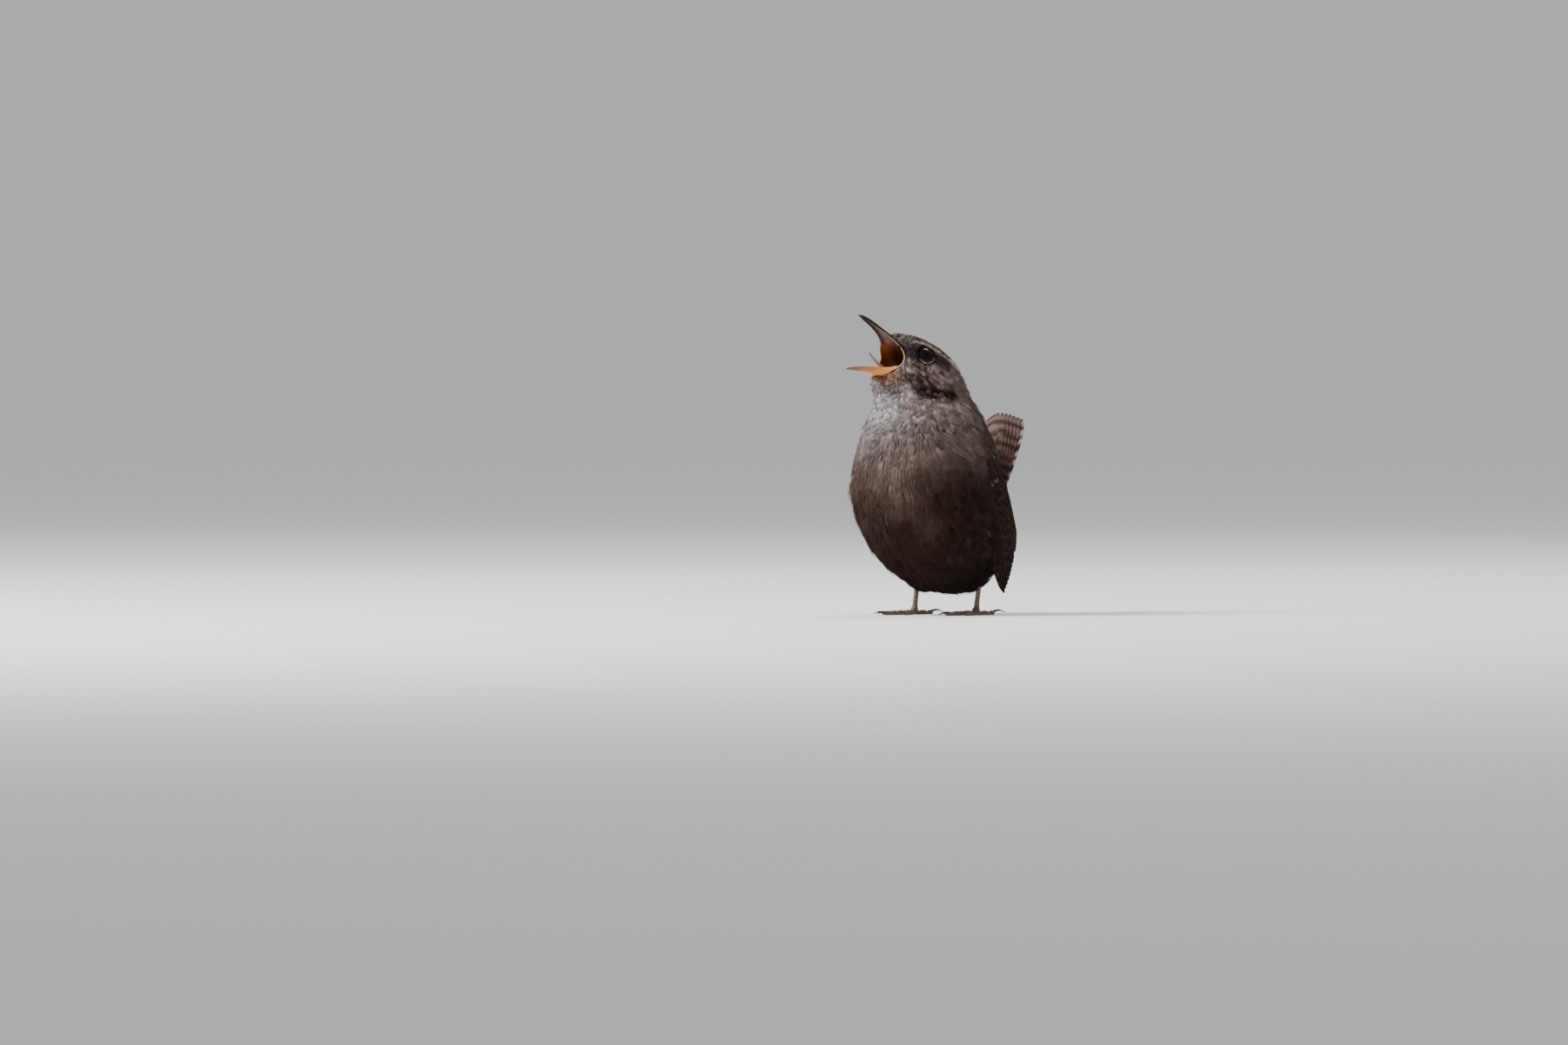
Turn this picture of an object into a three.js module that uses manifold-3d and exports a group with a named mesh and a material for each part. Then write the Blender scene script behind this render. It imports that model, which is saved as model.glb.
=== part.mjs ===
// A wren in full song: it stands upright on both feet, head raised, bill wide open and tail cocked. Life size, in
// millimetres. +Z is up, the breast faces -Y and the bird's left side is +X. The toes stand on the plane z = 0.
// Places on the bird are written as (forward, left, up), and places on the head from the point between the eyes.
import * as THREE from "three";
import { mergeVertices } from "three/addons/utils/BufferGeometryUtils.js";
import Module from "manifold-3d";

const wasm = await Module();
wasm.setup();

// Driving sizes of the whole bird
const GAP = 0.3; // clearance between neighbouring pieces
const DEG = Math.PI / 180;
const HEAD_CENTRE = [12, 0, 66.6]; // between the eyes, before the head is turned
const HEAD_TURN = 9 * DEG; // towards the bird's right
const NECK_FORWARD = 7; // where the upright axis that the head turns about stands

// Slices through the body from its back point to its front point, each [forward, up], with half its width
const SLICES = [
  { back: [20, 71.9], front: [25, 60.4], half: 2.2 }, // face, cut away where the bill grows
  { back: [16.3, 71.8], front: [23.8, 57.4], half: 4.9 }, // lores
  { back: [10.5, 70.6], front: [22.2, 54.6], half: 7 }, // brow
  { back: [2.6, 65.8], front: [22.4, 49.6], half: 10.1 }, // hind crown
  { back: [-2.4, 56.4], front: [25.8, 44], half: 13.6 }, // nape and throat
  { back: [-6, 46.5], front: [27.9, 37.6], half: 16 }, // shoulders
  { back: [-10.6, 36.5], front: [28.1, 29.6], half: 17.5 }, // breast
  { back: [-14.4, 26], front: [24.1, 19.6], half: 17.1 }, // belly
  { back: [-15.6, 17.5], front: [15.8, 10.7], half: 14.1 }, // flanks
  { back: [-12.8, 10.8], front: [5.2, 6], half: 8.4 }, // vent
  { back: [-7.4, 6.4], front: [-3.8, 5.2], half: 1.6 }, // lowest point
];
const RINGS = 35;
const RING_POINTS = 36;
const FULLNESS = { head: 2.6, body: 2.15 }; // exponent of the slices' outline, 2 for an ellipse
const HEAD_SLICE = 2.2; // the head is turned in full above this slice
const SHOULDER_SLICE = 5; // and not at all below this one
const NECK_CUT = 2.95; // the slice where the head meets the neck
const TORSO_CUT = 4.35; // the slice where the neck meets the torso

// Eyes, set in the side of the face, with lids that lean as it does
const EYE_AT = [0.9, -0.3]; // forward and up of the head's middle
const EYE_RADIUS = 2.7;
const LID_OUT = 6.35; // from the middle of the head to the middle of the lids
const LID_LEAN = [0.2, 0.5]; // how much the lids face forwards and up, against 1 sideways
const OPENING_RADIUS = 1.85;
const LID_THICK = 0.36;
const EYE_HOLLOW = 5.2; // radius of the shallow dish that the lids stand in

// Bill and mouth, as (forward, up) from the point between the eyes
const CULMEN = [[8, 5.1], [10.6, 6.3], [14.4, 10.3], [17.7, 10.15]];
const UPPER_EDGE = [[6.9, 1], [8.6, 4.6], [12.6, 6.9], [17.7, 9.85]];
const LOWER_EDGE = [[7.4, -2.6], [10.5, -4.3], [15.5, -2.1], [21.5, -3.5]];
const KEEL = [[10.9, -5.9], [13.4, -4.3], [17.5, -4.4], [21.5, -3.8]];
const GAPE_CORNER = [6.3, -0.9]; // pulls the corner of the mouth back between the two jaws
const GAPE_HALF = 4.6; // half the width of the mouth at its corners
const BILL_HALVES = [[0, 1], [0.06, 0.92], [0.29, 0.61], [0.45, 0.43], [0.61, 0.3], [0.81, 0.17], [1, 0.05]];
const PALATE_RISE = 0.5; // share of the bill's depth
const NOSTRIL = { at: 0.2, long: 1.3, deep: 0.42 };
const THROAT_HOLE = { middle: [6.8, -0.9], long: 4.6, half: 3.9, high: 2.7, lean: -25 * DEG };
const CHIN = [13.2, -5.1]; // how far the chin reaches under the bill
const TONGUE = { path: [[8, -3.9], [10.6, -3.8], [12.2, -2.3], [14.2, 0.05]], half: 0.85, thick: 0.55 };

// Wings: an axis from the wrist to the tip on the bird's side, and a surface that bends round the body
const WRIST = [10, 47.5]; // forward, up
const WING_TIP = [-9, 6.2];
const WING_OUT = [[0, 12.1], [0.2, 14.7], [0.35, 15.6], [0.5, 15.8], [0.65, 15], [0.8, 13.6], [1, 12]];
const WING_BEND_RADIUS = 12;
const VANE_THICK = 0.55;
const VANE_STEP = 0.14; // how much higher each vane lies than the one under it
const VANE_CROWN = 0.12; // how far a vane's shaft stands above its edges
const ARM = { from: 1.5, long: 24, front: -2.6, wide: 14.6, thick: 2.2, sunk: -0.5, swell: 0.7 };

// The folded wing's feathers from the lowest tier to the highest. Each row runs evenly from its first feather to
// its last, with roots and tips as [along, across] on the wing's surface. A covert is flat across.
const WING_ROWS = [
  { // primaries
    count: 6, level: 0.1,
    first: { root: [9, -1.2], tip: [45.6, -1], wide: 4, bow: -1.4 },
    last: { root: [11, 5], tip: [38.5, 4.4], wide: 4.6, bow: -0.6 },
  },
  { // secondaries
    count: 4, level: 0.9,
    first: { root: [11, 5.5], tip: [37.4, 6], wide: 4.8, bow: 0.2 },
    last: { root: [11, 9], tip: [33.5, 9.2], wide: 5.2, bow: 0.8 },
  },
  { // tertials
    count: 3, level: 1.4,
    first: { root: [10, 9.2], tip: [30.5, 10], wide: 5.2, bow: 0.9 },
    last: { root: [10, 11.5], tip: [23, 12.6], wide: 5.4, bow: 1 },
  },
  { // primary coverts
    count: 3, level: 0.8, covert: true,
    first: { root: [7, -2.2], tip: [19.5, -1.8], wide: 3, bow: -0.4 },
    last: { root: [7, 0.8], tip: [18.5, 1.4], wide: 3.2, bow: -0.2 },
  },
  { // greater coverts
    count: 5, level: 1.5, step: 0.1, covert: true,
    first: { root: [6, 1.8], tip: [16.5, 2.2], wide: 4, bow: 0 },
    last: { root: [7.5, 11.2], tip: [15, 11.8], wide: 4.2, bow: 0 },
  },
  { // median coverts
    count: 4, level: 1.85, step: 0.1, covert: true,
    first: { root: [3.5, 0.8], tip: [11.5, 1.2], wide: 4.2, bow: 0 },
    last: { root: [5, 9.2], tip: [11, 9.8], wide: 4.4, bow: 0 },
  },
];

// Tail
const TAIL_ROOT = [-12.2, 21.5]; // forward, up
const TAIL_LEAN = 15 * DEG; // back from upright
const TAIL_LONG = 30.9;
const TAIL_PAIRS = 6;
const TAIL_FAN = 1.85 * DEG; // turn from one feather to the next
const TAIL_SWING = -1.2 * DEG; // the whole fan, towards the bird's left
const TAIL_ROUNDING = 0.1; // how fast the feathers shorten towards each side
const TAIL_VANE_WIDE = 4.1;
const TAIL_STEP = 0.24;
const TAIL_ARCH = 26; // radius that the fan curves round
const TAIL_COVERTS = [ // in front of the tail's root and behind it
  { level: 1.9, long: 15, radius: 2.6 },
  { level: -2.6, long: 17, radius: 3.2 },
];

// Legs
const FEET = { left: { forward: -2, out: 8 }, right: { forward: 4, out: 8 } };
const TOE_RADIUS = 0.56;
const TOES = [
  { turn: 0, long: 11, claw: 3.4, joints: 3 }, // middle
  { turn: -24, long: 8, claw: 3, joints: 2 }, // inner
  { turn: 26, long: 8.8, claw: 3, joints: 4 }, // outer
  { turn: 180, long: 6.6, claw: 5.2, joints: 1 }, // hind
];
const SHANK_RADIUS = 0.6;
const ANKLE_UP = 2.2; // the shank starts at this height on top of the foot
const SHANK_SLOPE = 0.17; // how far the leg leans back as it rises
const THIGH = { low: 7, high: 17, lowRadius: 1.1, highRadius: 4.2 };

// The frame: (forward, left, up) to x, y, z
const place = (forward, left, up) => new THREE.Vector3(left, -forward, up);
const FORWARD = place(1, 0, 0);
const LEFT = place(0, 1, 0);
const UP = place(0, 0, 1);

function turned(point, share) {
  const axis = place(NECK_FORWARD, 0, 0);
  return point.clone().sub(axis).applyAxisAngle(UP, -HEAD_TURN * share).add(axis);
}

// A point of the head, from the point between the eyes, on the turned head
function onHead(forward, left, up) {
  return turned(place(HEAD_CENTRE[0] + forward, HEAD_CENTRE[1] + left, HEAD_CENTRE[2] + up), 1);
}

// Closed solids from geometry
function solidOf(geometry) {
  const bare = new THREE.BufferGeometry().setAttribute("position", geometry.getAttribute("position").clone());
  if (geometry.index) bare.setIndex(geometry.index.clone());
  const merged = mergeVertices(bare, 1e-4);
  const triVerts = new Uint32Array(merged.index.array);
  const vertProperties = merged.attributes.position.array;
  const made = new wasm.Manifold(new wasm.Mesh({ numProp: 3, vertProperties, triVerts }));
  if (made.volume() > 0) return made;
  for (let i = 0; i < triVerts.length; i += 3) {
    [triVerts[i + 1], triVerts[i + 2]] = [triVerts[i + 2], triVerts[i + 1]];
  }
  return new wasm.Manifold(new wasm.Mesh({ numProp: 3, vertProperties, triVerts }));
}

function joined(solids) {
  return solids.reduce((whole, piece) => whole.add(piece));
}

function largestOf(solid) {
  return solid.decompose().reduce((best, piece) => (piece.volume() > best.volume() ? piece : best));
}

function geometryOf(solid) {
  const mesh = largestOf(solid).getMesh();
  const points = new Float32Array(mesh.numVert * 3);
  for (let i = 0; i < mesh.numVert; i++) {
    points.set(mesh.vertProperties.subarray(i * mesh.numProp, i * mesh.numProp + 3), i * 3);
  }
  const geometry = new THREE.BufferGeometry().setAttribute("position", new THREE.BufferAttribute(points, 3));
  geometry.setIndex(new THREE.BufferAttribute(new Uint32Array(mesh.triVerts), 1));
  geometry.computeVertexNormals();
  return geometry;
}

function geometryFrom(points, faces) {
  const geometry = new THREE.BufferGeometry();
  geometry.setAttribute("position", new THREE.Float32BufferAttribute(points.flatMap((p) => p.toArray()), 3));
  geometry.setIndex(faces);
  return geometry;
}

// A closed skin through rings of equal counts, with a flat end at each side
function throughRings(rings) {
  const count = rings[0].length;
  const points = rings.flat();
  const faces = [];
  for (let i = 0; i < rings.length - 1; i++) {
    for (let j = 0; j < count; j++) {
      const [a, b] = [i * count + j, i * count + ((j + 1) % count)];
      faces.push(a, b, b + count, a, b + count, a + count);
    }
  }
  for (const [ring, start, flip] of [[rings[0], 0, true], [rings.at(-1), points.length - count, false]]) {
    const middle = ring.reduce((sum, p) => sum.add(p), new THREE.Vector3()).divideScalar(count);
    const hub = points.push(middle) - 1;
    for (let j = 0; j < count; j++) {
      const [a, b] = [start + j, start + ((j + 1) % count)];
      faces.push(hub, flip ? b : a, flip ? a : b);
    }
  }
  return solidOf(geometryFrom(points, faces));
}

// A round rod along points with a radius at each, flattened by `squash` along `across`
function rod(points, radii, sides, squash = 1, across = UP) {
  const rings = points.map((point, i) => {
    const ahead = points[Math.min(i + 1, points.length - 1)].clone().sub(points[Math.max(i - 1, 0)]).normalize();
    const side = new THREE.Vector3().crossVectors(ahead, across).normalize();
    const top = new THREE.Vector3().crossVectors(side, ahead).normalize();
    return Array.from({ length: sides }, (_, j) => {
      const angle = ((j + 0.5) / sides) * 2 * Math.PI;
      return point.clone().addScaledVector(side, Math.cos(angle) * radii[i])
        .addScaledVector(top, Math.sin(angle) * radii[i] * squash);
    });
  });
  return throughRings(rings);
}

// A thin curved plate through rows of {at, out}, with both faces split into triangles alike
function plate(rows, thick) {
  const [n, m] = [rows.length, rows[0].length];
  const points = [0.5, -0.5].flatMap((side) =>
    rows.flatMap((row) => row.map((p) => p.at.clone().addScaledVector(p.out, side * thick))));
  const faces = [];
  const under = n * m;
  for (let i = 0; i < n - 1; i++) {
    for (let j = 0; j < m - 1; j++) {
      const [a, b, c, d] = [i * m + j, (i + 1) * m + j, (i + 1) * m + j + 1, i * m + j + 1];
      faces.push(a, b, c, a, c, d);
      faces.push(under + a, under + c, under + b, under + a, under + d, under + c);
    }
  }
  const rim = [];
  for (let i = 0; i < n; i++) rim.push(i * m);
  for (let j = 1; j < m; j++) rim.push((n - 1) * m + j);
  for (let i = n - 2; i >= 0; i--) rim.push(i * m + m - 1);
  for (let j = m - 2; j > 0; j--) rim.push(j);
  rim.forEach((a, k) => {
    const b = rim[(k + 1) % rim.length];
    faces.push(a, under + a, under + b, a, under + b, b);
  });
  return solidOf(geometryFrom(points, faces));
}

// Values between the rows of a short table of [share, value]
function between(table, share) {
  const after = table.findIndex(([at]) => at >= share);
  if (after <= 0) return table[after < 0 ? table.length - 1 : 0][1];
  const [[a, low], [b, high]] = [table[after - 1], table[after]];
  return low + ((share - a) / (b - a)) * (high - low);
}

function bezier(path, t) {
  const [a, b, c, d] = path;
  const mix = (k) => (1 - t) ** 3 * a[k] + 3 * t * (1 - t) ** 2 * b[k] + 3 * t * t * (1 - t) * c[k] + t ** 3 * d[k];
  return [mix(0), mix(1)];
}

// The half space that a plane's normal points into, as a large block
function halfSpace(point, normal) {
  const size = 300;
  const box = new THREE.BoxGeometry(size, size, size).translate(0, 0, size / 2);
  box.applyQuaternion(new THREE.Quaternion().setFromUnitVectors(new THREE.Vector3(0, 0, 1), normal.clone().normalize()));
  return solidOf(box.translate(...point.toArray()));
}

// Body
const shares = (key) => new THREE.CatmullRomCurve3(SLICES.map((s) => place(s[key][0], s.half, s[key][1])));
const backLine = shares("back");
const frontLine = shares("front");

// The slice at a place along the body, counted in slices from the face
function sliceAt(slice) {
  const t = slice / (SLICES.length - 1);
  const [back, front] = [backLine.getPoint(t), frontLine.getPoint(t)];
  const half = (back.x + front.x) / 2;
  back.x = 0;
  front.x = 0;
  const turn = 1 - THREE.MathUtils.smoothstep(slice, HEAD_SLICE, SHOULDER_SLICE);
  return { back, front, half, turn };
}

function bodySkin(proud = 0) {
  const rings = Array.from({ length: RINGS }, (_, i) => {
    const { back, front, half, turn } = sliceAt((i / (RINGS - 1)) * (SLICES.length - 1));
    const middle = back.clone().add(front).multiplyScalar(0.5);
    if (i === RINGS - 1) middle.addScaledVector(UP, -proud);
    const reach = front.clone().sub(back).multiplyScalar(0.5);
    const along = reach.clone().normalize();
    const fullness = THREE.MathUtils.lerp(FULLNESS.body, FULLNESS.head, turn);
    return Array.from({ length: RING_POINTS }, (_, j) => {
      const angle = (j / RING_POINTS) * 2 * Math.PI;
      const [c, s] = [Math.cos(angle), Math.sin(angle)];
      const round = (Math.abs(c) ** fullness + Math.abs(s) ** fullness) ** (-1 / fullness);
      const point = middle.clone().addScaledVector(along, c * round * (reach.length() + proud))
        .addScaledVector(LEFT, s * round * (half + proud));
      return turned(point, turn);
    });
  });
  return throughRings(rings);
}

// The plane of one slice, as a point and the direction towards the head
function slicePlane(slice) {
  const { back, front, turn } = sliceAt(slice);
  const point = turned(back.clone().add(front).multiplyScalar(0.5), turn);
  const across = LEFT.clone().applyAxisAngle(UP, -HEAD_TURN * turn);
  const along = turned(front, turn).sub(turned(back, turn)).normalize();
  return { point, normal: new THREE.Vector3().crossVectors(along, across).normalize() };
}

function shifted({ point, normal }, amount) {
  return halfSpace(point.clone().addScaledVector(normal, amount), normal.clone().multiplyScalar(Math.sign(amount)));
}

// Mouth: all that lies in front of the bill's root and inside the gape, from the top of the face to under the chin
function mouthCutter() {
  const outline = new THREE.Shape();
  outline.moveTo(CULMEN[0][0] + 0.35, CULMEN[0][1] + 1.5);
  outline.lineTo(...CULMEN[0]);
  outline.lineTo(...UPPER_EDGE[0]);
  outline.quadraticCurveTo(...GAPE_CORNER, ...LOWER_EDGE[0]);
  outline.lineTo(...KEEL[0]);
  outline.lineTo(...CHIN);
  outline.lineTo(40, CHIN[1]);
  outline.lineTo(40, CULMEN[0][1] + 1.5);
  const wide = 30;
  const block = new THREE.ExtrudeGeometry(outline, { depth: wide, bevelEnabled: false, curveSegments: 8 });
  return solidOf(headBlock(block, wide));
}

// Lays an outline drawn as (forward, up) and extruded by `wide` across the turned head
function headBlock(geometry, wide) {
  const origin = onHead(0, 0, 0);
  const forward = onHead(1, 0, 0).sub(origin);
  const left = onHead(0, 1, 0).sub(origin);
  const basis = new THREE.Matrix4().makeBasis(forward, UP, left.clone());
  basis.setPosition(origin.addScaledVector(left, -wide / 2));
  return geometry.applyMatrix4(basis);
}

function ball(radii, middle, lean = 0) {
  const sphere = new THREE.SphereGeometry(1, 16, 10).scale(...radii).rotateX(-lean);
  sphere.rotateZ(-HEAD_TURN);
  return solidOf(sphere.translate(...middle.toArray()));
}

// Where a point on the axis of one eye lies, counted outwards from the middle of the lids
const lidAxis = (side) => onHead(LID_LEAN[0], side, LID_LEAN[1]).sub(onHead(0, 0, 0)).normalize();
const onEyeAxis = (side, out) => onHead(EYE_AT[0], side * LID_OUT, EYE_AT[1]).addScaledVector(lidAxis(side), out);

function eye(side, proud = 0) {
  const depth = Math.sqrt(EYE_RADIUS ** 2 - OPENING_RADIUS ** 2);
  const radius = EYE_RADIUS + proud;
  return ball([radius, radius, radius], onEyeAxis(side, -depth));
}

function lid(side) {
  const ring = new THREE.TorusGeometry(OPENING_RADIUS + LID_THICK, LID_THICK, 6, 18);
  ring.applyQuaternion(new THREE.Quaternion().setFromUnitVectors(new THREE.Vector3(0, 0, 1), lidAxis(side)));
  return solidOf(ring.translate(...onEyeAxis(side, 0).toArray()));
}

function eyeHollow(side) {
  return ball([EYE_HOLLOW, EYE_HOLLOW, EYE_HOLLOW], onEyeAxis(side, EYE_HOLLOW - LID_THICK / 2));
}

// Bill
const billHalf = (t) => GAPE_HALF * between(BILL_HALVES, t);
const billSteps = [-0.12, 0, 0.08, 0.17, 0.28, 0.4, 0.52, 0.64, 0.76, 0.87, 0.95, 1];

// One ring across a jaw: the ridge, its flanks, the edge, and the hollow between the two edges
function jawRing(t, ridgePath, edgePath) {
  const held = Math.max(t, 0);
  const behind = (held - t) * 18; // the root runs on, straight back
  const ridge = bezier(ridgePath, held);
  const edge = bezier(edgePath, held);
  const half = Math.max(billHalf(held), 0.22);
  const rise = [ridge[0] - edge[0], ridge[1] - edge[1]];
  const hollow = PALATE_RISE * Math.min(1, (1 - held) * 5);
  const profile = [ // share of the half width, share of the way from edge to ridge
    [0, 1], [0.34, 0.93], [0.68, 0.68], [0.93, 0.3], [1, 0],
    [0.78, 0.02], [0.55, hollow * 0.75], [0.25, hollow],
  ];
  const lefts = profile.map(([w, r]) => [w * half, r]);
  const rights = profile.slice(1).reverse().map(([w, r]) => [-w * half, r]);
  const centre = [[0, hollow]];
  return [...lefts, ...centre, ...rights].map(([left, r]) =>
    onHead(edge[0] + rise[0] * r - behind, left, edge[1] + rise[1] * r));
}

function jaw(ridgePath, edgePath) {
  return throughRings(billSteps.map((t) => jawRing(t, ridgePath, edgePath)));
}

function nostril(side) {
  const ridge = bezier(CULMEN, NOSTRIL.at);
  const edge = bezier(UPPER_EDGE, NOSTRIL.at);
  const middle = onHead(ridge[0] * 0.52 + edge[0] * 0.48, side * billHalf(NOSTRIL.at) * 0.86, ridge[1] * 0.52 + edge[1] * 0.48);
  const slit = new THREE.SphereGeometry(1, 12, 8).scale(NOSTRIL.deep, NOSTRIL.long / 2, NOSTRIL.deep * 0.7);
  slit.rotateX(-35 * DEG).rotateZ(-HEAD_TURN);
  return solidOf(slit.translate(...middle.toArray()));
}

// In front of the plane through the bill's root, moved on by the clearance
function beforeRoot(high, low) {
  const [a, b] = [onHead(high[0] + GAP, 0, high[1]), onHead(low[0] + GAP, 0, low[1])];
  const across = onHead(0, 1, 0).sub(onHead(0, 0, 0));
  const normal = new THREE.Vector3().crossVectors(across, a.clone().sub(b)).normalize();
  if (normal.dot(onHead(1, 0, 0).sub(onHead(0, 0, 0))) < 0) normal.negate();
  return halfSpace(a, normal);
}

function upperBill() {
  const whole = jaw(CULMEN, UPPER_EDGE).intersect(beforeRoot(CULMEN[0], UPPER_EDGE[0]));
  return whole.subtract(nostril(1)).subtract(nostril(-1));
}

function lowerBill() {
  return jaw(KEEL, LOWER_EDGE).intersect(beforeRoot(LOWER_EDGE[0], KEEL[0]));
}

// The tongue: a thin blade whose tip rises out of the lower bill
function tongue() {
  const steps = 8;
  const rows = Array.from({ length: steps + 1 }, (_, i) => {
    const t = i / steps;
    const [forward, up] = bezier(TONGUE.path, t);
    const ahead = bezier(TONGUE.path, Math.min(t + 0.05, 1));
    const behind = bezier(TONGUE.path, Math.max(t - 0.05, 0));
    const out = onHead(behind[1] - ahead[1], 0, ahead[0] - behind[0]).sub(onHead(0, 0, 0)).normalize();
    const half = TONGUE.half * (1 - 0.85 * t ** 1.5);
    return [-1, 0, 1].map((j) => ({ at: onHead(forward, j * half, up + GAP + 0.15 * Math.abs(j)), out }));
  });
  return plate(rows, TONGUE.thick);
}

// One feather on a surface, from its root to its tip in the surface's own millimetres
const VANE_SHAPE = [[0, 0.5], [0.25, 0.85], [0.55, 1], [0.8, 0.94], [0.94, 0.66], [1, 0.3]];
const COVERT_SHAPE = [[0, 0.6], [0.5, 1], [0.85, 0.86], [1, 0.36]];
function vane(surface, { root, tip, wide, level, bow = 0, covert = false }) {
  const [along, across] = [tip[0] - root[0], tip[1] - root[1]];
  const long = Math.hypot(along, across);
  const side = [-across / long, along / long];
  const columns = covert ? [-1, 1] : [-1, 0, 1];
  const rows = (covert ? COVERT_SHAPE : VANE_SHAPE).map(([t, share]) => columns.map((j) => {
    const off = (j * wide * share) / 2 + bow * Math.sin(Math.PI * t);
    const lift = level + (j ? 0 : VANE_CROWN);
    return surface(root[0] + along * t + side[0] * off, root[1] + across * t + side[1] * off, lift);
  }));
  return plate(rows, VANE_THICK);
}

// The wing's surface: `along` from the wrist to the tip, `across` from its front edge to its back edge
const wingLong = Math.hypot(WRIST[0] - WING_TIP[0], WRIST[1] - WING_TIP[1]);
const wingDown = place(WING_TIP[0] - WRIST[0], 0, WING_TIP[1] - WRIST[1]).normalize();
const wingBack = new THREE.Vector3().crossVectors(wingDown, LEFT).normalize();
if (wingBack.dot(FORWARD) > 0) wingBack.negate();

function wingSurface(along, across, level) {
  const share = along / wingLong;
  const angle = across / WING_BEND_RADIUS;
  const out = LEFT.clone().multiplyScalar(Math.cos(angle)).addScaledVector(wingBack, Math.sin(angle));
  const middle = place(WRIST[0], wingOut(share) - WING_BEND_RADIUS, WRIST[1]).addScaledVector(wingDown, along);
  return { at: middle.addScaledVector(out, WING_BEND_RADIUS + level), out };
}

// A smooth curve through WING_OUT
function wingOut(share) {
  const curve = new THREE.CatmullRomCurve3(WING_OUT.map(([at, out]) => new THREE.Vector3(at * wingLong, out, 0)));
  return curve.getPoint(THREE.MathUtils.clamp(share, 0, 1)).y;
}

// A row of like vanes, spread evenly from the first to the last
function vaneRow({ count, first, last, level, step = VANE_STEP, covert = false }) {
  const mix = THREE.MathUtils.lerp;
  return Array.from({ length: count }, (_, i) => {
    const t = i / (count - 1);
    return vane(wingSurface, {
      root: [mix(first.root[0], last.root[0], t), mix(first.root[1], last.root[1], t)],
      tip: [mix(first.tip[0], last.tip[0], t), mix(first.tip[1], last.tip[1], t)],
      wide: mix(first.wide, last.wide, t),
      bow: mix(first.bow, last.bow, t),
      level: level + i * step,
      covert,
    });
  });
}

// The arm under the coverts: a smooth pad that the feathers grow from
function wingArm() {
  const [steps, columns] = [8, 6];
  const rows = Array.from({ length: steps + 1 }, (_, i) => {
    const t = i / steps;
    const swell = Math.sin(Math.PI * Math.min(t * 1.2 + 0.12, 1)) ** 0.6;
    return Array.from({ length: columns + 1 }, (_, j) => {
      const across = ARM.front + (j / columns) * ARM.wide;
      const fall = Math.sin((Math.PI * (j + 0.6)) / (columns + 1.2));
      return wingSurface(ARM.from + t * ARM.long, across * (0.6 + 0.4 * swell), ARM.sunk + ARM.swell * swell * fall);
    });
  });
  return plate(rows, ARM.thick);
}

// Tail surface: `along` from the root to the tip, `across` to the bird's left, and the level towards the back's side
const tailUp = place(-Math.sin(TAIL_LEAN), 0, Math.cos(TAIL_LEAN));
const tailFace = new THREE.Vector3().crossVectors(LEFT, tailUp).normalize();
if (tailFace.dot(FORWARD) < 0) tailFace.negate();

function tailSurface(along, across, level) {
  const angle = across / TAIL_ARCH;
  const out = tailFace.clone().multiplyScalar(Math.cos(angle)).addScaledVector(LEFT, Math.sin(angle));
  const at = place(TAIL_ROOT[0], 0, TAIL_ROOT[1]).addScaledVector(tailUp, along)
    .addScaledVector(LEFT, across).addScaledVector(tailFace, level - (across * across) / (2 * TAIL_ARCH));
  return { at, out };
}

function tail() {
  const feathers = [];
  for (let pair = TAIL_PAIRS - 1; pair >= 0; pair--) {
    for (const side of [1, -1]) {
      const turn = side * (pair + 0.5) * TAIL_FAN + TAIL_SWING;
      const long = TAIL_LONG - TAIL_ROUNDING * pair ** 1.25;
      const start = side * (0.3 + pair * 0.12);
      feathers.push(vane(tailSurface, {
        root: [2, start],
        tip: [long * Math.cos(turn), start + long * Math.sin(turn)],
        wide: TAIL_VANE_WIDE,
        level: -pair * TAIL_STEP - (side < 0 ? TAIL_STEP / 2 : 0),
      }));
    }
  }
  const coverts = TAIL_COVERTS.map(({ level, long, radius }) => {
    const path = [0, 0.3, 0.6, 0.85, 1].map((t) => tailSurface(1 + long * t, 0, level * (1 - 0.75 * t)).at);
    const radii = [1.25, 1.15, 0.85, 0.5, 0.2].map((share) => share * radius);
    return rod(path, radii, 12, 0.7, tailFace);
  });
  return joined([...feathers, ...coverts]);
}

// One toe with its pads and its claw, lying forward from the foot's hub and then turned into place
function toe({ turn, long, claw, joints }) {
  const heading = FORWARD.clone().applyAxisAngle(UP, turn * DEG);
  const reach = (ahead, up) => heading.clone().multiplyScalar(ahead).addScaledVector(UP, up);
  const steps = joints + 2;
  const path = [reach(-0.2, 1.1)];
  const radii = [TOE_RADIUS * 1.15];
  for (let i = 1; i <= steps; i++) {
    const t = i / steps;
    const pad = i % 2 ? 1 : 1.1;
    const radius = TOE_RADIUS * (1.12 - 0.3 * t) * pad;
    path.push(reach(long * t, Math.max(radius - 0.06, 1.1 * (1 - t * 4))));
    radii.push(radius);
  }
  const body = rod(path, radii, 6);
  const clawPath = [];
  const clawRadii = [];
  for (let i = 0; i <= 4; i++) {
    const t = i / 4;
    const arc = Math.sin(Math.PI * (0.12 + 0.76 * t));
    clawPath.push(reach(long - 0.5 + claw * t, 0.34 + 0.75 * arc * (claw / 4) - 0.42 * t));
    clawRadii.push(TOE_RADIUS * 0.72 * (1 - 0.82 * t));
  }
  return body.add(rod(clawPath, clawRadii, 5, 1.25));
}

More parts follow.
